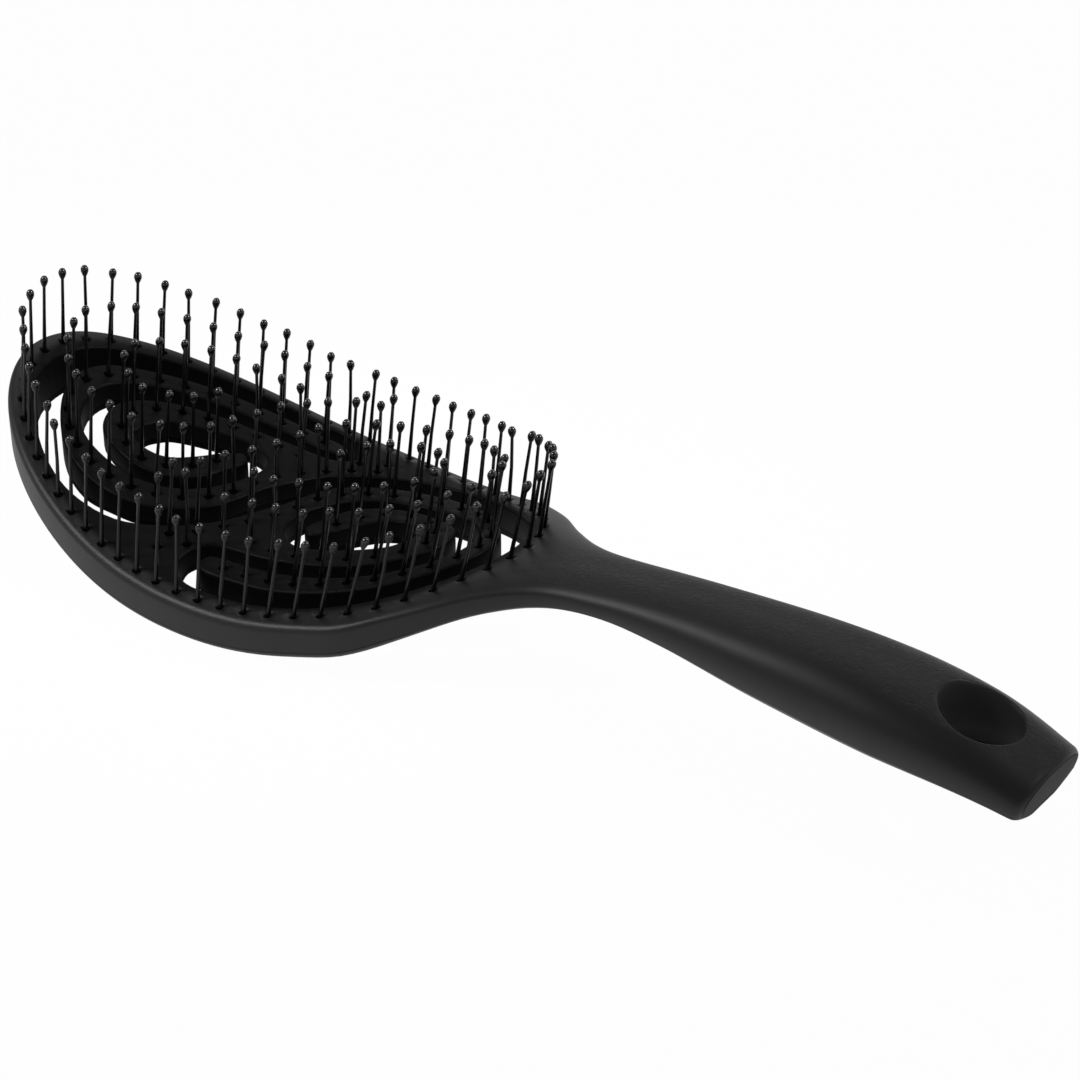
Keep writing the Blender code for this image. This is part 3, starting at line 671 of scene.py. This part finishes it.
def pin_hole(bm, root):
    """Adds one leaning hole cutter to a bmesh."""
    rings = [(PIN_HOLE_RADIUS, -FRONT_PLATE - HOLE_RELIEF), (PIN_HOLE_RADIUS, -PIN_HOLE_LIP),
             (PIN_HOLE_RADIUS + PIN_HOLE_FLARE, PIN_HOLE_TOP)]
    made = bmesh.ops.create_circle(bm, cap_ends=True, segments=PIN_HOLE_SIDES, radius=1)
    bottom = made["verts"]
    face = bottom[0].link_faces[0]
    for number, (radius, height) in enumerate(rings):
        if number:
            face = bmesh.ops.extrude_discrete_faces(bm, faces=[face])["faces"][0]
        middle = along_pin(root, height)
        offsets = [vertex.co.copy() for vertex in face.verts]
        centre = sum(offsets, Vector()) / len(offsets)
        for vertex, old in zip(face.verts, offsets):
            way = (old - centre).to_2d().normalized() * radius
            x, y = middle.x + way.x, middle.y + way.y
            vertex.co = (x, y, crown(x, y) + height)
    bmesh.ops.contextual_create(bm, geom=bottom)


def pin_holes():
    bm = bmesh.new()
    for name, cells, roots in STRIPS:
        for root, way in roots:
            pin_hole(bm, root)
    return new_piece("cut_pin_holes", bm)


# %% Bars along the rows
def strip_bar(cells, width, upper, lower):
    """A bar that follows a row and the crown, between two depths."""
    bm = bmesh.new()
    count = len(cells) - 1
    bmesh.ops.create_grid(bm, x_segments=count, y_segments=1, size=1)
    grown = bmesh.ops.extrude_face_region(bm, geom=bm.faces[:])
    for thing in grown["geom"]:
        if isinstance(thing, bmesh.types.BMVert):
            thing.co.z = 1.0
    for vertex in bm.verts:
        place, way = cells[round((vertex.co.x + 1) / 2 * count)]
        x = place.x - way.y * vertex.co.y * width / 2
        y = place.y + way.x * vertex.co.y * width / 2
        depth = upper(x) if vertex.co.z > 0 else lower(x)
        vertex.co = (x, y, crown(x, y) - depth)
    return bm


def grown_cells(cells):
    """The same cells with both ends moved out by the fit gap."""
    (first, first_way), (last, last_way) = cells[0], cells[-1]
    start = (first - first_way * FIT_GAP, first_way)
    end = (last + last_way * FIT_GAP, last_way)
    return [start, *cells[1:-1], end]


def pockets():
    whole = bmesh.new()
    for name, cells, roots in STRIPS:
        bm = strip_bar(grown_cells(cells), STRIP_WIDTH + 2 * FIT_GAP, lambda x: FRONT_PLATE,
                       lambda x: bottom_depth(x) + OVERRUN)
        mesh = bpy.data.meshes.new("pocket")
        bm.to_mesh(mesh)
        bm.free()
        whole.from_mesh(mesh)
        bpy.data.meshes.remove(mesh)
    return new_piece("cut_pockets", whole)


# %% The hanging hole
HOLE_LENGTH = 0.0153
HOLE_WIDTH = 0.0140
HOLE_INSET = 0.0150
HOLE_MIDDLE = HALF_LENGTH - HOLE_INSET
HOLE_LIP = 0.0009
HOLE_SIDES = 72
BOSS_MEETING_SHARE = 0.64
BOSS_STEP = 0.00025  # the bore is this much wider below the line where the shells' tubes meet


def oval_loft(name, levels):
    """An upright oval solid round the hanging hole: (widening, depth function) levels."""
    sections = []
    for extra, depth in levels:
        ring = []
        for step in range(HOLE_SIDES):
            turn = 2 * math.pi * step / HOLE_SIDES
            x = HOLE_MIDDLE + (HOLE_LENGTH / 2 + extra) * math.cos(turn)
            y = (HOLE_WIDTH / 2 + extra) * math.sin(turn)
            ring.append(Vector((x, y, crown(x, y) - depth(x, y))))
        sections.append(ring)
    return new_piece(name, loft(sections))


def surface_drop(x, y):
    """How far the rounded top lies below the crown at a place in the plan."""
    across, down = edge_size(x, TOP_EDGE_SHARES)
    share = 1.0 - min(max((half_width(x) - abs(y)) / across, 0.0), 1.0)
    return top_depth(x) + down * (1.0 - math.sqrt(1.0 - share * share))


def meeting_depth(x):
    """Depth at which the bores of the two shells meet."""
    return thickness(x) * BOSS_MEETING_SHARE


def lip_of_hole():
    """Levels of the hanging hole's rounded upper lip, which follows the surface."""
    levels = []
    for extra, depth in lip_levels(HOLE_LIP):
        levels.append((extra, lambda x, y, depth=depth: surface_drop(x, y) + depth))
    return levels


def below_body(x, y):
    return thickness(x) + OVERRUN


print("hanging hole's middle at x =", round(HOLE_MIDDLE, 4))


# %% [markdown]
# ## The two shells
#
# The front shell is the grained handle and the pinned face of the head in one
# moulding. The back cover is the thin plate under the head and the lid of the
# handle. Each is carved from its loft with Booleans whose cutters already carry
# the rounding, so no bevel has to find its way along an intersection.

# %% Front shell
def make_front():
    shell = new_piece("front_shell_moulding", loft([front_section(x) for x in STATIONS]))
    slit = slit_cutter("cut_slit", lambda x, y: 0.0, lambda x, y: bottom_depth(x), True, False)
    bore = [(0.0, lambda x, y: meeting_depth(x)),
            (BOSS_STEP, lambda x, y: meeting_depth(x) + BOSS_STEP), (BOSS_STEP, below_body)]
    hole = oval_loft("cut_hole", lip_of_hole() + bore)
    return carved(shell, [slit, hole, pockets(), pin_holes()])


front = make_front()


# %% Back cover
def underside(x, y):
    return bottom_depth(x) - raised(x, y)


def make_back():
    cover = new_piece("back_cover_moulding", loft([back_section(x) for x in STATIONS]))
    slit = slit_cutter("cut_slit", lambda x, y: 0.0, underside, False, True)
    hole = oval_loft("cut_hole", [(BOSS_STEP, lambda x, y: -OVERRUN), (BOSS_STEP, below_body)])
    return carved(cover, [slit, hole])


back = make_back()

# %% [markdown]
# ## Ball-tipped pins
#
# One pin is a turned shape: a slim tapered shaft that swells into a drop-shaped
# ball. Its half outline is spun round the axis in a few steps, because it is
# repeated almost a hundred and fifty times. Nylon pins are never quite straight,
# so each copy bows a little, from a seeded random draw.

# %% One pin
PIN_SIDES = 10
PIN_OUTLINE = [
    (0.00054, -0.0026), (0.00046, 0.0000), (0.00036, 0.0080), (0.00033, 0.0150),
    (0.00064, 0.0156), (0.00086, 0.0163), (0.00083, 0.0169), (0.00050, 0.01745), (0.0, 0.0176),
]
BOW = 0.00035  # how far the tips stray, as a standard deviation


def turned_pin():
    bm = bmesh.new()
    points = [bm.verts.new((radius, 0.0, height)) for radius, height in PIN_OUTLINE]
    edges = [bm.edges.new(pair) for pair in zip(points, points[1:])]
    bmesh.ops.spin(bm, geom=points + edges, cent=(0, 0, 0), axis=(0, 0, 1), angle=2 * math.pi,
                   steps=PIN_SIDES, use_merge=True)
    bmesh.ops.remove_doubles(bm, verts=bm.verts[:], dist=WELD)
    edges = [edge for edge in bm.edges if edge.is_boundary]
    bmesh.ops.holes_fill(bm, edges=edges, sides=0)
    mesh = bpy.data.meshes.new("pin")
    bm.to_mesh(mesh)
    bm.free()
    return mesh


PIN = turned_pin()
print("one pin", len(PIN.polygons), "faces")


# %% Strips of pins
SEED = 7
PIN_CREASE = math.radians(75)
draw = random.Random(SEED)


def stand_pin(bm, root):
    """Adds a pin to a bmesh, along its own leaning and slightly bowed axis."""
    known = len(bm.verts)
    bm.from_mesh(PIN)
    bm.verts.ensure_lookup_table()
    bow = Vector((draw.gauss(0, BOW), draw.gauss(0, BOW)))
    for vertex in bm.verts[known:]:
        share = max(vertex.co.z, 0.0) / PIN_LENGTH
        middle = along_pin(root, vertex.co.z)
        side = vertex.co.to_2d() + bow * share * share
        vertex.co = (middle.x + side.x, middle.y + side.y, middle.z)


def make_strip(name, cells, roots):
    """A nylon backing with its pins, as one piece."""
    upper = FRONT_PLATE + FIT_GAP
    bm = strip_bar(cells, STRIP_WIDTH, lambda x: upper, lambda x: upper + STRIP_THICKNESS)
    for root, way in roots:
        stand_pin(bm, root)
    piece = new_piece("pins_" + name, bm)
    piece.data.set_sharp_from_angle(angle=PIN_CREASE)
    return piece


strips = {name: make_strip(name, cells, roots) for name, cells, roots in STRIPS}
print("strips", len(strips), "faces", sum(len(piece.data.polygons) for piece in strips.values()))


# %% [markdown]
# ## Shader maths in plain Python
#
# Materials are easier to read as expressions. `Signal` wraps a socket, so that
# `1 - mask * 0.5` adds the Math nodes by itself. Any other node comes from
# `Finish.node`, which sets the node up and links or sets its inputs.

# %% Signals
class Signal:
    """One output of a node, on which Python's operators add Math nodes."""

    def __init__(self, finish, socket):
        self.finish, self.socket = finish, socket

    def math(self, operation, other=0.0, swap=False):
        first, second = (other, self) if swap else (self, other)
        return self.finish.node("ShaderNodeMath", {"operation": operation}, {0: first, 1: second}, 0)

    def __add__(self, other):
        return self.math("ADD", other)

    __radd__ = __add__

    def __sub__(self, other):
        return self.math("SUBTRACT", other)

    def __rsub__(self, other):
        return self.math("SUBTRACT", other, swap=True)

    def __mul__(self, other):
        return self.math("MULTIPLY", other)

    __rmul__ = __mul__

    def __truediv__(self, other):
        return self.math("DIVIDE", other)

    def __rtruediv__(self, other):
        return self.math("DIVIDE", other, swap=True)

    def length_with(self, other):
        """Length of the vector made of this and another signal."""
        return (self * self + other * other).math("SQRT")

    def ramp(self, low, high):
        """0 below low, 1 above high, smooth between."""
        return self.finish.node("ShaderNodeMapRange", {"interpolation_type": "SMOOTHSTEP"},
                                {"Value": self, "From Min": low, "From Max": high}, "Result")


# %% Finishes
class Finish:
    """The node tree of a material or of the world."""

    def __init__(self, tree):
        self.tree = tree

    def node(self, kind, settings, values, output):
        """Adds a node with its settings and its sockets' values or links."""
        node = self.tree.nodes.new(kind)
        for key, value in settings.items():
            setattr(node, key, value)
        for key, value in values.items():
            if isinstance(value, Signal):
                self.tree.links.new(value.socket, node.inputs[key])
            else:
                node.inputs[key].default_value = value
        return Signal(self, node.outputs[output])

    def place(self):
        """The place on the object, in metres."""
        return self.node("ShaderNodeTexCoord", {}, {}, "Object")

    def split(self, vector):
        """The three parts of a vector."""
        node = self.node("ShaderNodeSeparateXYZ", {}, {0: vector}, "X").socket.node
        return [Signal(self, socket) for socket in node.outputs]

    def facing(self):
        """The direction of the surface, as three signals."""
        return self.split(self.node("ShaderNodeNewGeometry", {}, {}, "Normal"))

    def noise(self, place, scale, detail=2.0):
        """Even noise, from 0 to 1."""
        return self.node("ShaderNodeTexNoise", {}, {
            "Vector": place, "Scale": scale, "Detail": detail}, "Fac")

    def cells(self, place, scale):
        """Distance to the nearest border of irregular cells."""
        return self.node("ShaderNodeTexVoronoi", {"feature": "DISTANCE_TO_EDGE"},
                         {"Vector": place, "Scale": scale}, "Distance")

    def bump(self, height, strength, distance):
        return self.node("ShaderNodeBump", {}, {"Strength": strength, "Distance": distance,
                                                "Height": height}, "Normal")

    def blend(self, share, first, second):
        """A colour between two others."""
        return self.node("ShaderNodeMix", {"data_type": "RGBA"}, {0: share, 6: first, 7: second}, 2)

    def painted_skin(self, colour, roughness, gloss):
        """A second principled shader, mixed over the main one where shade and light are painted."""
        return self.node("ShaderNodeBsdfPrincipled", {}, {
            "Base Color": colour, "Roughness": roughness, "Specular IOR Level": gloss}, 0)

    def mix_into(self, shader, share, other):
        """Shows a share of another shader in place of the main one."""
        both = self.node("ShaderNodeMixShader", {}, {
            0: share, 1: Signal(self, shader.outputs[0]), 2: other}, 0)
        self.tree.links.new(both.socket, self.tree.nodes["Material Output"].inputs["Surface"])


def grey(level, blue=0.0):
    """A grey of a given level, with a little more blue where asked."""
    return (level, level, level + blue, 1.0)


def new_material(name):
    material = bpy.data.materials.new(name)
    material.use_nodes = True
    return material, Finish(material.node_tree), material.node_tree.nodes["Principled BSDF"]


def feed(finish, shader, **signals):
    """Links signals to the inputs of a shader that their names say."""
    for name, signal in signals.items():
        finish.tree.links.new(signal.socket, shader.inputs[name.replace("_", " ")])


def set_gloss(shader, index, level):
    shader.inputs["IOR"].default_value = index
    shader.inputs["Specular IOR Level"].default_value = level


# %% [markdown]
# ## Satin black plastic with a leather grain
#
# The shells are black plastic with a soft satin skin. On the upper face of the
# handle and the neck the mould has a leather grain: shallow wrinkled cells about
# a millimetre and a half wide, a little longer along the handle. It fades where
# the side walls turn down and where the head begins. The grain is a bump from
# warped Voronoi cells, masked by the place and by the direction the surface faces.

# %% Leather grain
GRAIN_WARP_SCALE = 420.0
GRAIN_WARP_DETAIL = 4.0
GRAIN_WARP = 0.0022  # how far the warp bends the cells
GRAIN_STRETCH = (0.85, 1.0, 1.0)
WIDE_CELL_SCALE = 640.0
FINE_CELL_SCALE = 1500.0
WIDE_FURROW = 0.20  # furrows end at these distances from a border, in cells
FINE_FURROW = 0.25
PATCH_SCALE = 300.0
PATCH_DETAIL = 3.0
PATCH_RANGE = (0.38, 0.62)
WIDE_HEIGHT = 0.25  # heights of the wide cells, of their patches and of the fine cells
PATCH_HEIGHT = 0.55
FINE_HEIGHT = 0.35


def leather_height(finish, place):
    """Height of the leather grain, 0 in its furrows and about 1 on its cells."""
    warp = finish.node("ShaderNodeTexNoise", {}, {
        "Vector": place, "Scale": GRAIN_WARP_SCALE, "Detail": GRAIN_WARP_DETAIL}, "Color")
    bent = finish.node("ShaderNodeVectorMath", {"operation": "MULTIPLY_ADD"},
                       {0: warp, 1: (GRAIN_WARP, GRAIN_WARP, GRAIN_WARP), 2: place}, "Vector")
    stretched = finish.node("ShaderNodeMapping", {}, {"Vector": bent, "Scale": GRAIN_STRETCH}, "Vector")
    wide = finish.cells(stretched, WIDE_CELL_SCALE).ramp(0.0, WIDE_FURROW)
    fine = finish.cells(bent, FINE_CELL_SCALE).ramp(0.0, FINE_FURROW)
    patchy = finish.noise(place, PATCH_SCALE, PATCH_DETAIL).ramp(*PATCH_RANGE)
    return wide * (WIDE_HEIGHT + patchy * PATCH_HEIGHT) + fine * FINE_HEIGHT


print("leather cells of about", round(1000 / WIDE_CELL_SCALE, 1), "mm")

# %% [markdown]
# ## Painted shade in the slit, the hole and on the arms
#
# Little light comes out of the slit, of the hanging hole or off the arms between
# the pins. The shell's shader therefore passes there into a darker, duller one,
# as painted shade, and on the butt face too. In the front shell's hanging hole
# this skin is lighter instead, as painted light on the bore's upper wall. Each
# place is found from the ovals that bound it and from how steep the surface is.

# %% Places with painted shade
WALL_FACING = (0.35, 0.75)  # a wall is steeper than these upward shares
HEAD_INSIDE = (0.88, 0.93)  # shares of the head's oval
BORE_INSIDE = (1.03, 1.12)  # shares of the hole's oval
# share of painted shade on the arms' faces inside the head
ARM_PAINTED_SHADE = 0.85
BUTT_FACING = (0.86, 0.95)
BUTT_FROM = (0.1185, 0.1195)
# share of painted shade on the butt face
BUTT_PAINTED_SHADE = 0.8


def painted_shade_and_light_share(finish, place):
    """Share of painted shade and light: 1 on the walls inside the slit and the hanging hole, less on the
    arms' faces and on the butt face.
    """
    x, y = finish.split(place)[:2]
    normal = finish.facing()
    steep = 1 - normal[2].math("ABSOLUTE").ramp(*WALL_FACING)
    across = ((x - SPIRAL_MIDDLE) / HEAD_HALF_LENGTH).length_with(y / HEAD_HALF_WIDTH)
    inside = 1 - across.ramp(*HEAD_INSIDE)
    across = ((x - HOLE_MIDDLE) / (HOLE_LENGTH / 2)).length_with(y / (HOLE_WIDTH / 2))
    bore = (1 - across.ramp(*BORE_INSIDE)) * steep
    butt = normal[0].ramp(*BUTT_FACING) * BUTT_PAINTED_SHADE
    walls = (inside * (ARM_PAINTED_SHADE + steep * (1 - ARM_PAINTED_SHADE))).math("MAXIMUM", bore)
    return walls.math("MAXIMUM", butt * x.ramp(*BUTT_FROM))


# %% Shell plastic
GRAIN_FROM = (0.008, 0.030)  # the grain sets in between these x
GRAIN_FACING = (0.84, 0.95)  # and between these upward shares
BORE_FROM = (0.060, 0.070)  # the hanging hole's painted tone sets in and ends at these x
BORE_TO = (0.1150, 0.1180)
SATIN_BLACKS = (grey(0.0040, 0.0002), grey(0.0055, 0.0002))
SATIN_ROUGHNESS = 0.40
GRAIN_ROUGHNESS = 0.10
SATIN_BUMP = (0.5, 0.00015)  # strength and distance
SATIN_GLOSS = (1.46, 0.38)  # refractive index and level
CLOUD_SCALE = 60.0
CLOUD_DETAIL = 3.0
CLOUD_ROUGHNESS = 0.08
SPECKLE_SCALE = 2600.0
SPECKLE_ROUGHNESS = 0.04
SPECKLE_HEIGHT = 0.10
CELL_ROUGHNESS = 0.05
PAINTED_SKIN_ROUGHNESS = 0.6


def shell_plastic(name, grained, slit_shade_level, bore_light_and_shade_level, painted_skin_gloss):
    """Satin black plastic, with a darker, duller skin painted in as shade inside the slit, on the arms
    and on the butt face, and a painted tone of its own in the hanging hole.
    """
    material, finish, shader = new_material(name)
    place = finish.place()
    x = finish.split(place)[0]
    broad = finish.noise(place, CLOUD_SCALE, CLOUD_DETAIL)
    speckle = finish.noise(place, SPECKLE_SCALE)
    height = speckle * SPECKLE_HEIGHT
    rough = SATIN_ROUGHNESS + broad * CLOUD_ROUGHNESS + speckle * SPECKLE_ROUGHNESS
    if grained:
        mask = x.ramp(*GRAIN_FROM) * finish.facing()[2].ramp(*GRAIN_FACING)
        grain = leather_height(finish, place)
        height = height + grain * mask
        rough = rough + mask * (GRAIN_ROUGHNESS - grain * CELL_ROUGHNESS)
    feed(finish, shader, Base_Color=finish.blend(broad, *SATIN_BLACKS), Roughness=rough,
         Normal=finish.bump(height, *SATIN_BUMP))
    set_gloss(shader, *SATIN_GLOSS)
    # painted shade in the slit and on the butt face, and near the hanging hole a painted tone of its own
    near_hole = x.ramp(*BORE_FROM) - x.ramp(*BORE_TO)
    tone = finish.blend(near_hole, grey(slit_shade_level), grey(bore_light_and_shade_level))
    finish.mix_into(shader, painted_shade_and_light_share(finish, place), finish.painted_skin(tone, PAINTED_SKIN_ROUGHNESS, painted_skin_gloss))
    return material


# The front shell's bore is painted lighter, as light on its upper wall; the back cover's bore stays dark,
# as painted shade.
grained_skin = shell_plastic("satin_black_grained", grained=True, slit_shade_level=0.0014,
                             bore_light_and_shade_level=0.0340, painted_skin_gloss=0.04)
cover_skin = shell_plastic("satin_black_cover", grained=False, slit_shade_level=0.0012,
                           bore_light_and_shade_level=0.0016, painted_skin_gloss=0.02)
for shell, skin in ((front, grained_skin), (back, cover_skin)):
    shell.data.materials.clear()
    shell.data.materials.append(skin)
    print(shell.name, "has", skin.name, "with", len(skin.node_tree.nodes), "nodes")


# %% [markdown]
# ## Polished nylon
#
# The pins are black nylon, glossy where they face up, with a faint streak along
# each of them. Where they face sideways or down, on the shafts and under the
# balls, a darker and duller skin is painted in as shade.

# %% Pin nylon
NYLON_BLACKS = (grey(0.0030, 0.0003), grey(0.0050, 0.0003))
NYLON_ROUGHNESS = 0.08
NYLON_BUMP = (0.02, 0.00003)
NYLON_GLOSS = (1.53, 0.6)
STREAK_SCALE = 2400.0
STREAK_ROUGHNESS = 0.06
STREAK_STRETCH = (1.0, 1.0, 0.2)
NYLON_CLOUD_SCALE = 220.0
BALL_FACING = (0.02, 0.30)
# share and skin of the painted shade on the pins' sides and undersides
SHAFT_PAINTED_SHADE = 0.75
SHAFT_SHADE_SKIN = (grey(0.0020, 0.0002), 0.35, 0.12)  # colour, roughness and gloss


def pin_nylon():
    material, finish, shader = new_material("glossy_black_nylon")
    place = finish.place()
    stretched = finish.node("ShaderNodeMapping", {}, {"Vector": place, "Scale": STREAK_STRETCH}, "Vector")
    streak = finish.noise(stretched, STREAK_SCALE)
    cloud = finish.noise(place, NYLON_CLOUD_SCALE)
    feed(finish, shader, Base_Color=finish.blend(cloud, *NYLON_BLACKS),
         Roughness=NYLON_ROUGHNESS + streak * STREAK_ROUGHNESS, Normal=finish.bump(streak, *NYLON_BUMP))
    set_gloss(shader, *NYLON_GLOSS)
    # painted shade: surfaces facing sideways or down get a darker, duller skin
    shaft = 1 - finish.facing()[2].ramp(*BALL_FACING)
    finish.mix_into(shader, shaft * SHAFT_PAINTED_SHADE, finish.painted_skin(*SHAFT_SHADE_SKIN))
    return material


nylon = pin_nylon()
for piece in strips.values():
    piece.data.materials.append(nylon)
print("nylon on", len(strips), "strips")

# %% [markdown]
# ## Place every piece on the frame
#
# Each dressed piece stands for one CAD node, which is hidden.
# The brush has no joints, so everything rides on the one body.

# %% Ride and replace
dressed = [(front, "front_shell", "shell_plastic"), (back, "back_cover", "shell_plastic")]
dressed += [(piece, "pin_strip_" + name, "pin_nylon") for name, piece in strips.items()]
for piece, node, slot in dressed:
    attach(piece, "root")
    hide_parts(node)
print("pieces on the frame", len(dressed))

# %% [markdown]
# ## Floor, light and camera
#
# The brush lies on a white floor in a plain studio. The floor fills the picture
# and looks white to the camera, but keeps a soft shadow. It looks white to
# reflections too, except past the head's far end, where a painted shade makes it
# darker to them. The room is pale at the horizon and dim overhead, so the upper
# faces of the black plastic stay dark. Two small softboxes with grids light the
# head from above, left and right of the camera, and put the twin highlights on
# the ball tips. A larger one stands behind.

# %% Floor
FLOOR_RADIUS = 30.0
FLOOR_SIDES = 64
FLOOR_WHITE = 0.86
FLOOR_ROUGHNESS = 0.9
FLOOR_GLOSS = 0.1
FLOOR_GLOW = 0.98
PAINTED_SHADE_GLOW = 0.45  # the floor's glow in reflections past the head's far end, lowered as painted shade
PAINTED_SHADE_FROM = (-0.200, -0.095)


def make_floor():
    bm = bmesh.new()
    bmesh.ops.create_circle(bm, cap_ends=True, segments=FLOOR_SIDES, radius=FLOOR_RADIUS)
    floor = new_piece("studio_floor", bm)
    material, finish, shader = new_material("white_floor")
    shader.inputs["Base Color"].default_value = grey(FLOOR_WHITE)
    shader.inputs["Roughness"].default_value = FLOOR_ROUGHNESS
    shader.inputs["Specular IOR Level"].default_value = FLOOR_GLOSS
    rays = finish.node("ShaderNodeLightPath", {}, {}, "Is Camera Ray")
    outputs = rays.socket.node.outputs
    x = finish.split(finish.place())[0]
    # painted shade: past the head's far end the floor glows less to reflections
    shade = PAINTED_SHADE_GLOW + x.ramp(*PAINTED_SHADE_FROM) * (1 - PAINTED_SHADE_GLOW)
    seen = rays.math("MAXIMUM", Signal(finish, outputs["Is Glossy Ray"]) * shade)
    seen = seen.math("MAXIMUM", Signal(finish, outputs["Is Transmission Ray"]))
    glow = finish.node("ShaderNodeEmission", {}, {"Strength": 1.0}, "Emission")
    finish.mix_into(shader, seen * FLOOR_GLOW, glow)
    floor.data.materials.append(material)
    print("floor", 2 * FLOOR_RADIUS, "m across")


make_floor()


# %% World
HORIZON = (0.730, 0.715, 0.745, 1.0)
OVERHEAD = (0.245, 0.238, 0.255, 1.0)
SKY_HEIGHTS = (0.12, 0.50)


def make_world():
    world = bpy.data.worlds.new("studio_room")
    world.use_nodes = True
    bpy.context.scene.world = world
    finish = Finish(world.node_tree)
    way = finish.node("ShaderNodeTexCoord", {}, {}, "Generated")
    height = finish.split(way)[2]
    shade = finish.blend(height.ramp(*SKY_HEIGHTS), HORIZON, OVERHEAD)
    background = world.node_tree.nodes["Background"]
    world.node_tree.links.new(shade.socket, background.inputs["Color"])
    print("world", world.name)


make_world()

# %% Camera
AZIMUTH = math.radians(37.3)
ELEVATION = math.radians(29.1)
FOCAL_PIXELS = 2600.0
PICTURE_PIXELS = 1080.0
SENSOR = 36.0
BOW_PLACE = -0.04965  # x of the bow's lowest place, from which the camera is placed
CAMERA_FROM_BOW = Vector((0.27245, -0.34086, 0.25126))


def way_to(azimuth, elevation):
    """Unit vector from the brush towards a place seen at those angles."""
    return Vector((math.sin(azimuth) * math.cos(elevation), -math.cos(azimuth) * math.cos(elevation),
                   math.sin(elevation)))


def make_camera():
    data = bpy.data.cameras.new("photo_camera")
    data.sensor_width = SENSOR
    data.lens = FOCAL_PIXELS / PICTURE_PIXELS * SENSOR
    camera = bpy.data.objects.new("photo_camera", data)
    bpy.context.scene.collection.objects.link(camera)
    camera.location = CAMERA_FROM_BOW + Vector((0.0, 0.0, crown(BOW_PLACE, 0.0)))
    camera.rotation_euler = way_to(AZIMUTH, ELEVATION).to_track_quat("Z", "Y").to_euler()
    bpy.context.scene.camera = camera
    return camera


camera = make_camera()
print("camera lens, mm", round(camera.data.lens, 1))

# %% Softboxes
HEAD_AIM = Vector((HEAD_MIDDLE, 0.0, 0.030))
DOT_ASIDE_SHARE = 0.42  # the twin highlights' places on a ball
DOT_ABOVE_SHARE = 0.33
DOT_DISTANCE = 0.55
DOT_SIZE = (0.10, 0.12)
DOT_POWER = 0.075
GRID_SPREAD = math.radians(36)
BACK_AZIMUTH = AZIMUTH + math.radians(170)
BACK_ELEVATION = ELEVATION + math.radians(22)
BACK_DISTANCE = 1.4
BACK_SIZE = (0.9, 0.5)
BACK_POWER = 2.5


def softbox(name, way, distance, size, power, spread=math.pi):
    """A rectangular light aimed at the head, with a grid where its spread is narrow."""
    data = bpy.data.lights.new(name, "AREA")
    data.shape = "RECTANGLE"
    data.size, data.size_y = size
    data.energy = power
    data.spread = spread
    lamp = bpy.data.objects.new(name, data)
    bpy.context.scene.collection.objects.link(lamp)
    lamp.location = HEAD_AIM + way * distance
    lamp.rotation_euler = way.to_track_quat("Z", "Y").to_euler()


def mirrored(aside, above):
    """Direction of a light whose highlight sits there on a ball, in shares of its radius."""
    ahead = math.sqrt(1.0 - aside ** 2 - above ** 2)
    turned = camera.rotation_euler.to_matrix()
    normal = turned @ Vector((aside, above, ahead))
    return (2.0 * ahead * normal - turned @ Vector((0.0, 0.0, 1.0))).normalized()


for name, side in (("left_softbox", -1), ("right_softbox", 1)):
    way = mirrored(side * DOT_ASIDE_SHARE, DOT_ABOVE_SHARE)
    softbox(name, way, DOT_DISTANCE, DOT_SIZE, DOT_POWER, GRID_SPREAD)
softbox("back_softbox", way_to(BACK_AZIMUTH, BACK_ELEVATION), BACK_DISTANCE, BACK_SIZE, BACK_POWER)
print("softboxes", [lamp.name for lamp in bpy.data.lights])

# %% [markdown]
# ## The picture
#
# The Standard view shows the colours as they are, as plain product photographs do.

# %% Plain picture
bpy.context.scene.view_settings.view_transform = "Standard"
